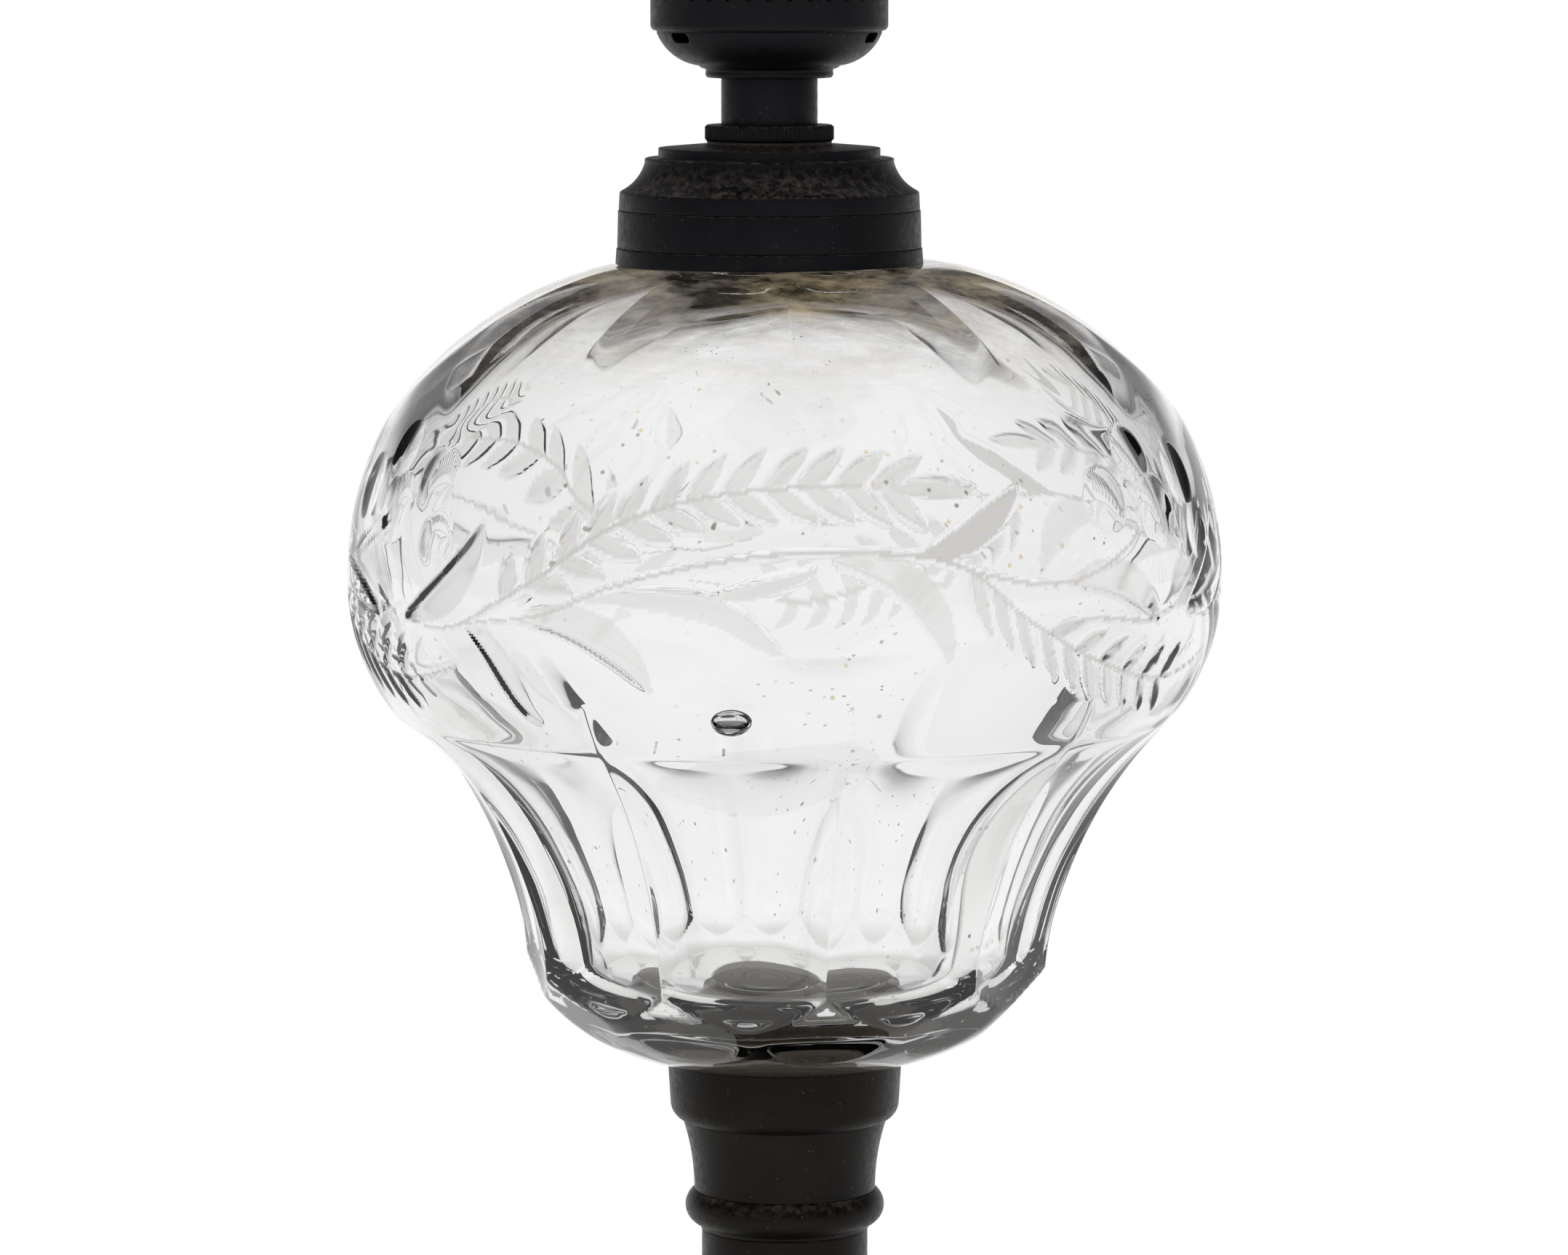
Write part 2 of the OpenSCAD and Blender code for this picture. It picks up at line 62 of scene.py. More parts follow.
def add(tree, kind, inputs=None, stops=None, **settings):
    """Adds a node. An input given as a socket is linked, any other is set, and stops fill a ramp."""
    made = tree.nodes.new("ShaderNode" + kind)
    for name, value in settings.items():
        setattr(made, name, value)
    for name, value in (inputs or {}).items():
        if isinstance(value, bpy.types.NodeSocket):
            tree.links.new(value, made.inputs[name])
        else:
            made.inputs[name].default_value = value
    for i, (place, colour) in enumerate(stops or ()):
        stop = made.color_ramp.elements[i] if i < 2 else made.color_ramp.elements.new(place)
        stop.position = place
        stop.color = colour
    return made


def new_material(name):
    """A material with its node tree, its Principled shader and the object's own coordinates."""
    material = bpy.data.materials.new(name)
    material.use_nodes = True
    tree = material.node_tree
    place = add(tree, "TexCoord").outputs["Object"]
    return material, tree, tree.nodes["Principled BSDF"], place


def finish_node(name, material):
    """Gives a CAD node its finish."""
    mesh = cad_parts[name].data
    mesh.materials.clear()
    mesh.materials.append(material)


baize, tree, shader, place = new_material("woollen_baize")
flock = add(tree, "TexNoise", {"Vector": place, "Scale": 260, "Detail": 8, "Roughness": 0.75})
fibre = add(tree, "TexNoise", {"Vector": place, "Scale": 2600, "Detail": 4, "Roughness": 0.7})
dye = add(tree, "ValToRGB", {"Fac": flock.outputs["Fac"]},
          [(0.3, linear("16301f")), (0.7, linear("2c5238"))])
tree.links.new(dye.outputs["Color"], shader.inputs["Base Color"])
shader.inputs["Roughness"].default_value = 0.95
shader.inputs["Sheen Weight"].default_value = 0.4
pile = add(tree, "Bump", {"Height": fibre.outputs["Fac"], "Strength": 0.7, "Distance": 0.4 * MM})
tree.links.new(pile.outputs["Normal"], shader.inputs["Normal"])
finish_node("foot_felt", baize)

# Foot weight: grey cast iron, rough from the sand mould and blackened. It lies in the foot's hollow.
cast_iron, tree, shader, place = new_material("blackened_cast_iron")
sand = add(tree, "TexNoise", {"Vector": place, "Scale": 900, "Detail": 5, "Roughness": 0.6})
crust = add(tree, "ValToRGB", {"Fac": sand.outputs["Fac"]},
            [(0.3, linear("1d1c1c")), (0.75, linear("4a3a30"))])
tree.links.new(crust.outputs["Color"], shader.inputs["Base Color"])
shader.inputs["Metallic"].default_value = 0.6
shader.inputs["Roughness"].default_value = 0.75
grit = add(tree, "Bump", {"Height": sand.outputs["Fac"], "Strength": 0.6, "Distance": 0.5 * MM})
tree.links.new(grit.outputs["Normal"], shader.inputs["Normal"])
finish_node("foot_weight", cast_iron)

# Tie rod, nut and washer: plain turned steel, dulled, with the fine rings of the turning.
steel, tree, shader, place = new_material("turned_steel")
rings = add(tree, "TexWave", {"Vector": place, "Scale": 900, "Distortion": 0.6, "Detail": 2},
            bands_direction="Z")
tarnish = add(tree, "TexNoise", {"Vector": place, "Scale": 150, "Detail": 5})
grey = add(tree, "ValToRGB", {"Fac": tarnish.outputs["Fac"]},
           [(0.35, linear("6c6862")), (0.7, linear("a09c94"))])
tree.links.new(grey.outputs["Color"], shader.inputs["Base Color"])
shader.inputs["Metallic"].default_value = 1.0
shader.inputs["Roughness"].default_value = 0.4
lathe_marks = add(tree, "Bump", {"Height": rings.outputs["Fac"], "Strength": 0.2, "Distance": 0.05 * MM})
tree.links.new(lathe_marks.outputs["Normal"], shader.inputs["Normal"])
for name in ("tie_rod", "rod_nut", "rod_washer"):
    finish_node(name, steel)


# Foot, stem and socket: spun and turned brass with a chemical brown-black finish, lacquered once.
# The finish is worn to reddish brown on the edges and holds dust where it faces up.
def arc(p, q, radius, count):
    """Points from p to q, without q, on an arc. A positive radius has its centre on the left of the way."""
    p, q = np.array(p, float), np.array(q, float)
    way = q - p
    length = math.hypot(*way)
    left = np.array([-way[1], way[0]]) / length
    centre = (p + q) / 2 + left * math.copysign(math.sqrt(radius ** 2 - length ** 2 / 4), radius)
    start = math.atan2(*(p - centre)[::-1])
    sweep = math.copysign(2 * math.asin(length / 2 / abs(radius)), radius)
    return [(centre[0] + abs(radius) * math.cos(start + sweep * i / count),
             centre[1] + abs(radius) * math.sin(start + sweep * i / count)) for i in range(count)]


def eased(profile, ease):
    """The closed profile with its sharp corners rounded, as a file and handling leave them."""
    points = [np.array(p, float) for p in profile]
    out = []
    for i, here in enumerate(points):
        before, after = points[i - 1] - here, points[(i + 1) % len(points)] - here
        near, far = math.hypot(*before), math.hypot(*after)
        turn = math.pi - math.acos(np.clip(before @ after / near / far, -1, 1))
        if turn < math.radians(24) or here[0] < 0.01:
            out.append(here)
            continue
        cut = min(ease, near * 0.4, far * 0.4)
        a, b = here + before / near * cut, here + after / far * cut
        out += [(1 - t) ** 2 * a + 2 * t * (1 - t) * here + t * t * b for t in (0, 0.25, 0.5, 0.75, 1)]
    return out


def close_up(mesh):
    """Joins points that coincide, turns all faces outwards and shades them smooth."""
    shape = bmesh.new()
    shape.from_mesh(mesh)
    bmesh.ops.remove_doubles(shape, verts=shape.verts, dist=0.002 * MM)
    bmesh.ops.recalc_face_normals(shape, faces=shape.faces)
    shape.to_mesh(mesh)
    shape.free()
    mesh.shade_smooth()


def turned(node, profile, body, material, off_axis=0.0, ease=0.25, columns=240, knurl=None):
    """A piece turned from a closed profile of (radius, height) in mm, standing for its CAD node.
    A knurl is (number of teeth, depth, least radius, lowest height, highest height)."""
    name = node + "_turned"
    points = eased(profile, ease)
    rings = len(points)
    angles = np.arange(columns) * 2 * math.pi / columns
    r = np.array([p[0] for p in points])
    z = np.array([p[1] for p in points])
    radii = np.tile(r, (columns, 1))
    if knurl:
        teeth, deep, least, low, high = knurl
        radii -= np.outer(1 - np.cos(teeth * angles), (r > least) & (z > low) & (z < high)) * deep / 2
    x = off_axis + np.cos(angles)[:, None] * radii
    y = np.sin(angles)[:, None] * radii
    co = np.stack([x, y, np.broadcast_to(z, x.shape)], -1).reshape(-1, 3) * MM
    faces = []
    for c in range(columns):
        n = (c + 1) % columns
        for i in range(rings):
            j = (i + 1) % rings
            if max(r[i], r[j]) > 0.01:
                faces.append((c * rings + i, n * rings + i, n * rings + j, c * rings + j))
    mesh = bpy.data.meshes.new(name)
    mesh.from_pydata(co.tolist(), [], faces)
    finished = bpy.data.objects.new(name, mesh)
    scene.collection.objects.link(finished)
    close_up(mesh)
    mesh.materials.append(material)
    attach(finished, body)
    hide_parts(node)
    return finished


def darkened_brass(name, dark, light, worn, dust_colour, dustiness, roughness):
    """Brass with a dark chemical finish: cloudy, rubbed on its edges, dusty where it faces up."""
    material, tree, shader, place = new_material(name)
    cloud = add(tree, "TexNoise", {"Vector": place, "Scale": 60, "Detail": 4, "Roughness": 0.5})
    mottle = add(tree, "TexNoise", {"Vector": place, "Scale": 700, "Detail": 5, "Roughness": 0.7})
    speck = add(tree, "TexVoronoi", {"Vector": place, "Scale": 900, "Randomness": 1.0})
    rounded = add(tree, "Bevel", {"Radius": 0.35 * MM}, samples=6)
    flat = add(tree, "NewGeometry")
    along = add(tree, "VectorMath", {0: rounded.outputs["Normal"], 1: flat.outputs["Normal"]},
                operation="DOT_PRODUCT")
    edge = add(tree, "MapRange", {"Value": along.outputs["Value"], "From Min": 0.995, "From Max": 0.93})
    scuffed = add(tree, "Math", {0: edge.outputs["Result"], 1: mottle.outputs["Fac"]}, operation="MULTIPLY")
    finish = add(tree, "ValToRGB", {"Fac": cloud.outputs["Fac"]},
                 [(0.32, linear(dark)), (0.72, linear(light))])
    rubbed = add(tree, "Mix", {0: scuffed.outputs["Value"], 6: finish.outputs["Color"], 7: linear(worn)},
                 data_type="RGBA")
    up = add(tree, "SeparateXYZ", {"Vector": flat.outputs["Normal"]})
    shelf = add(tree, "MapRange", {"Value": up.outputs["Z"], "From Min": 0.1, "From Max": 0.8,
                                   "To Min": 0.015})
    film = add(tree, "MapRange", {"Value": mottle.outputs["Fac"], "From Min": 0.42, "From Max": 0.75})
    settled = add(tree, "Math", {0: shelf.outputs["Result"], 1: film.outputs["Result"]}, operation="MULTIPLY")
    settled = add(tree, "Math", {0: settled.outputs["Value"], 1: dustiness}, operation="MULTIPLY")
    grain = add(tree, "MapRange", {"Value": speck.outputs["Distance"], "From Min": 0.2, "From Max": 0.1})
    pick = add(tree, "TexNoise", {"Vector": place, "Scale": 300, "Detail": 1})
    some = add(tree, "MapRange", {"Value": pick.outputs["Fac"], "From Min": 0.56, "From Max": 0.66})
    lint = add(tree, "Math", {0: grain.outputs["Result"], 1: some.outputs["Result"]}, operation="MULTIPLY")
    lint = add(tree, "Math", {0: lint.outputs["Value"], 1: 0.3}, operation="MULTIPLY")
    dust = add(tree, "Math", {0: settled.outputs["Value"], 1: lint.outputs["Value"]}, operation="MAXIMUM",
               use_clamp=True)
    colour = add(tree, "Mix", {0: dust.outputs["Value"], 6: rubbed.outputs[2], 7: linear(dust_colour)},
                 data_type="RGBA")
    tree.links.new(colour.outputs[2], shader.inputs["Base Color"])
    metal = add(tree, "MapRange", {"Value": dust.outputs["Value"], "To Min": 0.8, "To Max": 0.0})
    tree.links.new(metal.outputs["Result"], shader.inputs["Metallic"])
    matt = add(tree, "MapRange", {"Value": mottle.outputs["Fac"], "From Min": 0.3, "From Max": 0.7,
                                  "To Min": roughness - 0.08, "To Max": roughness + 0.14})
    tree.links.new(matt.outputs["Result"], shader.inputs["Roughness"])
    skin = add(tree, "Bump", {"Height": mottle.outputs["Fac"], "Strength": 0.12, "Distance": 0.08 * MM,
                              "Normal": rounded.outputs["Normal"]})
    tree.links.new(skin.outputs["Normal"], shader.inputs["Normal"])
    return material


stem_finish = darkened_brass("bronzed_brass_stem", "110f0e", "1c1815", "4a3226", "6f6558", 0.5, 0.4)
FOOT_R = 75.0
turned("foot",
       [(FOOT_R - 9, 1.6), (FOOT_R, 1.6)] + arc((FOOT_R, 7), (FOOT_R - 4.5, 11.2), 5, 12)
       + [(FOOT_R - 4.5, 11.2), (FOOT_R - 6.5, 11.2)] + arc((FOOT_R - 6.5, 12.8), (34, 32), -46, 30)
       + arc((34, 32), (30, 37), 6, 10) + [(30, 37), (30, 40), (9, 40), (9, 34), (26, 34)]
       + arc((28, 32), (FOOT_R - 10, 9), 50, 12) + [(FOOT_R - 10, 9), (FOOT_R - 9, 8)],
       "stand", stem_finish, columns=320)
turned("stem_base",
       [(3.4, 40), (27.5, 40), (27.5, 43.6)] + arc((26.2, 43.6), (26.2, 50.4), 3.6, 20)
       + [(26.2, 50.4), (23.6, 50.8)] + arc((23.6, 51.6), (20.6, 55.4), -4, 12)
       + arc((20.6, 55.4), (20.2, 60.2), 2.7, 16) + [(20.2, 60.2), (17.6, 60.6), (16.6, 62), (3.4, 62)],
       "stand", stem_finish)
SEAT = 190.0
SHAFT_R = 15.4
bead_under = SEAT - 31.9
turned("stem_shaft",
       [(SHAFT_R - 1.2, 62), (SHAFT_R + 1.2, 62), (SHAFT_R + 0.9, 86), (SHAFT_R, bead_under - 8),
        (SHAFT_R, bead_under), (SHAFT_R - 2, bead_under), (SHAFT_R - 2, 82)],
       "stand", stem_finish)
capital_under = SEAT - 24.6
socket_under = SEAT - 11.2
turned("stem_bead",
       [(SHAFT_R - 4, bead_under), (SHAFT_R + 0.2, bead_under), (SHAFT_R + 0.4, bead_under + 0.6)]
       + arc((SHAFT_R + 0.6, bead_under + 0.8), (SHAFT_R + 1.4, capital_under), 3.65, 24)
       + [(SHAFT_R + 1.4, capital_under), (SHAFT_R - 4, capital_under)],
       "stand", stem_finish)
turned("stem_capital",
       [(SHAFT_R - 4, capital_under), (SHAFT_R + 1.4, capital_under)]
       + arc((SHAFT_R + 1.4, capital_under + 0.4), (SHAFT_R + 3.6, socket_under), -42, 16)
       + [(SHAFT_R + 3.6, socket_under), (SHAFT_R - 4, socket_under)],
       "stand", stem_finish)
SOCKET_R = 21.7
socket_floor = socket_under + 2.2
turned("font_socket",
       [(3, socket_under)]
       + arc((SHAFT_R + 3.9, socket_under), (SOCKET_R - 0.5, socket_under + 3.1), 3.4, 14)
       + [(SOCKET_R - 0.5, socket_under + 3.1), (SOCKET_R, SEAT), (SOCKET_R - 1.6, SEAT),
          (SOCKET_R - 1.6, socket_floor + 1.5), (SOCKET_R - 3.1, socket_floor), (3, socket_floor)],
       "stand", stem_finish)

# Cements: plaster that holds the glass peg in the socket, and the collar on the glass neck.
# It was poured wet, and has gone yellow and crumbly with oil.
plaster, tree, shader, place = new_material("oiled_plaster")
crumb = add(tree, "TexNoise", {"Vector": place, "Scale": 700, "Detail": 6, "Roughness": 0.7})
stain = add(tree, "ValToRGB", {"Fac": crumb.outputs["Fac"]},
            [(0.3, linear("7a6240")), (0.75, linear("d0bd93"))])
tree.links.new(stain.outputs["Color"], shader.inputs["Base Color"])
shader.inputs["Roughness"].default_value = 0.9
lumps = add(tree, "Bump", {"Height": crumb.outputs["Fac"], "Strength": 0.5, "Distance": 0.4 * MM})
tree.links.new(lumps.outputs["Normal"], shader.inputs["Normal"])
finish_node("font_cement", plaster)
finish_node("collar_cement", plaster)

# Font: lead glass, blown thick, then cut on wheels. Ten flat ovals ring the shoulder, ten flutes
# hollow the waist and ten facets ring the foot. Round the belly runs an engraved wreath of fronds,
# long leaves and grapes, in three repeats. Each leaf is ground with the wheel tipped: a steep wall
# on one side and a floor that runs out softly on the other.
COLUMNS = 1080
CUTS = 10
SHOULDER_TURN, FLUTE_TURN, FOOT_TURN = -17, -9, 10
BELLY_R = 80.25
LOW_BELLY = (BELLY_R - 10.5, 62.7)
BELLY_LOW, BELLY_HIGH = 89, 91
SHOULDER_ARC, BELLY_ARC, WAIST_ARC, FOOT_ARC = 56.3, 37.6, 78.2, 34.4
SHOULDER_CENTRE = (BELLY_R - 67.5, 73.7)
FOOT_CENTRE = (18, 34.4)
FOOT_CORNER = (48.7, 18.1)
GLASS = 4.5
WAIST_GLASS = 6.5
NECK_UNDER = 147.3


def spaced(p, q, radius, step):
    """An arc's points a step apart."""
    return arc(p, q, radius, max(2, round(math.dist(p, q) / step)))


outside = ([(11.9, -7.9), (11.9, 0.1)]
           + spaced((FOOT_CENTRE[0], 0.1), FOOT_CORNER, FOOT_ARC, 1.1)
           + spaced(FOOT_CORNER, LOW_BELLY, -WAIST_ARC, 0.9)
           + spaced(LOW_BELLY, (BELLY_R, BELLY_LOW), BELLY_ARC, 0.5)
           + spaced((BELLY_R, BELLY_LOW), (BELLY_R, BELLY_HIGH), 500, 0.5)
           + spaced((BELLY_R, BELLY_HIGH), (22, NECK_UNDER), SHOULDER_ARC, 0.55)
           + [(21.9, NECK_UNDER + 0.1), (21.9, 150), (21.9, 156), (16, 156)])
in_low = (LOW_BELLY[0] - 0.72 * 5.5, LOW_BELLY[1] + 0.69 * 5.5)
in_corner = (FOOT_CORNER[0] - WAIST_GLASS, FOOT_CORNER[1] + 4)
FLOOR = 12.8
inside = ([(16, NECK_UNDER - GLASS - 1)]
          + spaced((19, NECK_UNDER - GLASS), (BELLY_R - GLASS, BELLY_HIGH), GLASS - SHOULDER_ARC, 3)
          + spaced((BELLY_R - GLASS, BELLY_LOW), in_low, GLASS - BELLY_ARC, 3)
          + spaced(in_low, in_corner, WAIST_ARC + WAIST_GLASS, 3)
          + spaced(in_corner, (in_corner[0] - 10, FLOOR), -11, 1.5)
          + [(in_corner[0] - 10, FLOOR), (26, FLOOR), (20, FLOOR), (14, FLOOR), (8, FLOOR), (3, FLOOR)])

out_r, out_h = np.array(outside).T
azimuth = np.arange(COLUMNS) * 360 / COLUMNS
grid_az, grid_r = np.meshgrid(azimuth, out_r, indexing="ij")
grid_h = np.broadcast_to(out_h, grid_r.shape)


def smooth_step(x, low, high):
    """Goes softly from 0 at low to 1 at high."""
    t = np.clip((x - low) / (high - low), 0, 1)
    return t * t * (3 - 2 * t)


# The way into the glass at each height: towards the shoulder arc's centre at the top,
# level at the waist, and towards the foot arc's centre at the bottom.
to_top = np.stack([SHOULDER_CENTRE[0] - out_r, SHOULDER_CENTRE[1] - out_h], -1)
to_foot = np.stack([FOOT_CENTRE[0] - out_r, FOOT_CENTRE[1] - out_h], -1)
level = np.tile([-1.0, 0.0], (len(out_r), 1))
for way in (to_top, to_foot):
    way /= np.linalg.norm(way, axis=1)[:, None]
share_top = smooth_step(out_h, 76, 112)[:, None]
share_foot = (1 - smooth_step(out_h, 4, 18))[:, None]
inward = level * (1 - share_top - share_foot) + to_top * share_top + to_foot * share_foot
inward /= np.linalg.norm(inward, axis=1)[:, None]


STEP = 0.01


def cut_depth(rows, turn, past):
    """How deep a ring of cuts goes at each point of some rows; past() is the distance past a cut's face."""
    fold = (grid_az[:, rows] - turn + 18) % 36 - 18
    cos, sin = np.cos(np.radians(fold)), np.sin(np.radians(fold))
    r, h, dr, dh = grid_r[:, rows], grid_h[:, rows], inward[rows, 0], inward[rows, 1]
    depth = np.zeros_like(r)
    for _ in range(5):
        here = past((r + depth * dr) * cos, (r + depth * dr) * sin, h + depth * dh)
        deeper = depth + STEP
        there = past((r + deeper * dr) * cos, (r + deeper * dr) * sin, h + deeper * dh)
        depth = np.clip(depth + here * STEP / np.maximum(here - there, 0.002), -20, 12)
    return depth


SHOULDER_WHEEL = 75.4
FLUTE_WHEEL, FLUTE_CENTRE = 60.4, (105.45, 14.7)
FOOT_TILT = math.radians(44)
FOOT_CUT = 0.85


def past_shoulder(x, y, h):
    """The shoulder's wheel runs round a wide circle, so that it leaves an oval."""
    return np.hypot(x - SHOULDER_CENTRE[0], h - SHOULDER_CENTRE[1]) - SHOULDER_WHEEL


def past_flute(x, y, h):
    """Low down the wheel's own shape; higher up the glass was rolled under it, so a flute keeps its width."""
    wheel = FLUTE_WHEEL - y * y / 200 - np.hypot(x - FLUTE_CENTRE[0], h - FLUTE_CENTRE[1])
    across = np.clip(np.abs(np.degrees(np.arctan2(y, x))) / 18, 0, 1)
    reach = np.hypot(x, y)
    blank_r = np.interp(h, out_h[waist_rows], out_r[waist_rows])
    bow = np.sqrt(FLUTE_WHEEL ** 2 - np.clip(h - FLUTE_CENTRE[1], -60, 55) ** 2)
    middle = np.maximum(blank_r - (FLUTE_CENTRE[0] - bow), -3)
    rolled = middle * (1 - across ** 2.4) - (blank_r - reach)
    share = smooth_step(h, 26, 40)
    return wheel * (1 - share) + rolled * share


def past_foot(x, y, h):
    """The foot's ovals are flat and tilted."""
    across, below = x - FOOT_CENTRE[0], h - FOOT_CENTRE[1]
    return across * math.cos(FOOT_TILT) - below * math.sin(FOOT_TILT) - (FOOT_ARC - FOOT_CUT)


POLISH = 0.2
waist_rows = np.where((out_h > 18) & (out_h < 80))[0]
depth = np.zeros_like(grid_r)
for low, high, turn, past in ((108, 147, SHOULDER_TURN, past_shoulder), (4, 74, FLUTE_TURN, past_flute),
                              (0.5, 18, FOOT_TURN, past_foot)):
    rows = np.where((out_h > low) & (out_h < high))[0]
    d = cut_depth(rows, turn, past)
    depth[:, rows] = np.maximum(depth[:, rows], (d + np.sqrt(d * d + POLISH ** 2)) / 2)

# The wreath is laid out flat over one and a half repeats: across in mm round the belly, up in mm
# over the seat. Its cuts are then wrapped round three times.
ACROSS = 1.4
band = np.where((out_h > 66) & (out_h < 121))[0]
flat_az = np.arange(-105, 106, 360 / COLUMNS)
flat_x, flat_y = np.meshgrid(flat_az * ACROSS, out_h[band], indexing="ij")
engraved = np.zeros_like(flat_x)
ground = np.zeros_like(flat_x)


def sweep(points, count=18):
    """A smooth line through a few (azimuth, height) points, in the flat layout's mm."""
    p = np.array(points, float) * (ACROSS, 1)
    p = np.vstack([2 * p[0] - p[1], p, 2 * p[-1] - p[-2]])
    line = []
    for i in range(1, len(p) - 2):
        for t in np.arange(count) / count:
            line.append(0.5 * ((2 * p[i]) + (p[i + 1] - p[i - 1]) * t
                               + (2 * p[i - 1] - 5 * p[i] + 4 * p[i + 1] - p[i + 2]) * t * t
                               + (3 * p[i] - 3 * p[i + 1] + p[i + 2] - p[i - 1]) * t ** 3))
    line.append(p[-2])
    return np.array(line)


def cut_along(line, wall, body, deep, frost, side=1, full=0.5):
    """Cuts along a line: a wall on one side, and a floor of width body that runs out on the other."""
    pad = max(abs(wall), abs(body)) + 1
    near = ((flat_x > line[:, 0].min() - pad) & (flat_x < line[:, 0].max() + pad)
            & (flat_y > line[:, 1].min() - pad) & (flat_y < line[:, 1].max() + pad))
    x, y = flat_x[near], flat_y[near]
    best = np.full(x.shape, 1e9)
    off, along = np.zeros_like(x), np.zeros_like(x)
    lengths = np.hypot(*np.diff(line, axis=0).T)
    total, gone = lengths.sum(), 0.0
    for i, length in enumerate(lengths):
        ux, uy = (line[i + 1] - line[i]) / length
        s = (x - line[i, 0]) * ux + (y - line[i, 1]) * uy
        t = (y - line[i, 1]) * ux - (x - line[i, 0]) * uy
        gap = np.hypot(s - np.clip(s, 0, length), t)
        closer = gap < best
        best = np.where(closer, gap, best)
        off = np.where(closer, np.where(t * side >= 0, gap, -gap), off)
        along = np.where(closer, (gone + np.clip(s, 0, length)) / total, along)
        gone += length
    swell = np.sin(math.pi * along ** (math.log(0.5) / math.log(full)))
    swell = np.maximum(swell, 0) ** 0.7
    width = np.maximum(body * swell, 0.01)
    floor = np.clip(1 - off / width, 0, 1) ** 1.4
    edge = np.clip(1 + off / wall, 0, 1)
    cut = deep * np.where(off >= 0, floor, edge) * np.minimum(1, swell * 1.6)
    engraved[near] = np.maximum(engraved[near], cut)
    rough = frost * np.where(off >= 0, floor > 0.02, edge > 0.5) * (cut > 0.02)
    ground[near] = np.maximum(ground[near], rough)


def stem(points):
    """A plain groove, 1.1 mm wide and 0.3 mm deep."""
    cut_along(sweep(points), 0.55, 0.55, 0.3, 1.0)


LEAF_BEND = 0.09


def leaflets(spine, start, end, count, angles, lengths, body, deep, side):
    """A row of small leaves from a spine; their angle and length change evenly along it."""
    line = sweep(spine)
    steps = np.hypot(*np.diff(line, axis=0).T).cumsum()
    for i in range(count):
        t = i / max(1, count - 1)
        k = np.searchsorted(steps, steps[-1] * (start + (end - start) * t))
        a = math.radians(angles[0] + (angles[1] - angles[0]) * t)
        length = lengths[0] + (lengths[1] - lengths[0]) * t
        base = line[min(k, len(line) - 1)] / (ACROSS, 1)
        tip = base + np.array([length * math.cos(a) / ACROSS, length * math.sin(a)])
        aside = np.array([-math.sin(a) / ACROSS, math.cos(a)])
        middle = (base + tip) / 2 + side * LEAF_BEND * length * aside
        cut_along(sweep([base, middle, tip], 6), 0.5, body, deep, 0.6, side=-side, full=0.42)


def grape(azimuth_, height, half_w, half_h, deep):
    """A round hollow, polished like a small lens."""
    rho = np.hypot((flat_x - azimuth_ * ACROSS) / half_w, (flat_y - height) / half_h)
    np.maximum(engraved, deep * np.clip(1 - rho ** 2, 0, 1), out=engraved)


frond = [(-57, 87), (-50, 86), (-44, 88), (-33, 96), (-22, 106), (-11, 111), (2, 113), (13, 113)]
vine = [(-50, 86), (-42, 88), (-32, 90), (-21, 96), (-9, 100), (3, 102), (17, 101), (24, 98), (31, 90),
        (40, 83), (50, 78), (58, 76), (66, 77), (74, 80)]
stem(frond)
stem(vine)
stem([(18, 101), (27, 97), (35, 95), (42, 96), (49, 100), (53, 104)])
leaflets(frond, 0.27, 0.98, 12, (78, 24), (9, 12), 3.4, 0.5, 1)
leaflets(frond, 0.33, 1.0, 11, (-4, -42), (10, 11), 3.2, 0.5, -1)
cut_along(sweep([(14, 113), (20, 114), (26, 112)]), 0.5, 3.6, 0.6, 0.6, side=-1)
tail = [(24, 98), (31, 90), (40, 83), (50, 78), (58, 76), (66, 77)]
leaflets(tail, 0.0, 0.82, 10, (-72, -52), (12, 8), 2.4, 0.5, -1)
leaflets(tail, 0.3, 0.85, 6, (12, 48), (9, 8), 2.6, 0.5, 1)
stem([(39, 89), (46, 88), (53, 87), (60, 89)])
cut_along(sweep([(-57, 87), (-50, 94), (-45, 100), (-42, 105)]), 0.6, 7, 0.8, 0.45, side=-1)
cut_along(sweep([(-36, 89), (-29, 87), (-23, 83), (-17, 77)]), 0.6, 7, 0.6, 0.45, side=1, full=0.55)
cut_along(sweep([(-27, 93), (-16, 95), (-7, 93), (0, 84)]), 0.6, 5, 0.55, 0.45, side=-1, full=0.6)
cut_along(sweep([(-10, 94), (-3, 97), (4, 99)]), 0.5, 3, 0.45, 0.5, side=-1)
cut_along(sweep([(6, 101), (14, 95), (19, 87), (21, 82)]), 0.6, 6.5, 0.6, 0.45, side=1, full=0.5)
cut_along(sweep([(17, 101), (22, 105), (27, 109), (32, 112)]), 0.5, 5.5, 0.4, 1.0, side=-1)
cut_along(sweep([(38, 95), (45, 93), (51, 90), (56, 86)]), 0.6, 7, 0.6, 0.45, side=1)
cut_along(sweep([(-45, 88), (-41, 82), (-37, 73), (-34, 70)]), 0.6, 5, 0.6, 0.45, side=1)
for spot in ((46.5, 108.5, 5.4, 6), (55, 116, 5.2, 5), (57.5, 106, 5.6, 6.2), (66.5, 111.5, 5.5, 6),
             (69, 101, 4.8, 5)):
    grape(*spot, deep=0.55)

shift = np.round((flat_az % 120) / (360 / COLUMNS)).astype(int) % (COLUMNS // 3)
panel = np.zeros((COLUMNS // 3, len(band)))
panel_frost = np.zeros_like(panel)
np.maximum.at(panel, shift, engraved)
np.maximum.at(panel_frost, shift, ground)
depth[:, band] += np.tile(panel, (3, 1))
frost = np.zeros_like(grid_r)
frost[:, band] = np.tile(panel_frost, (3, 1))

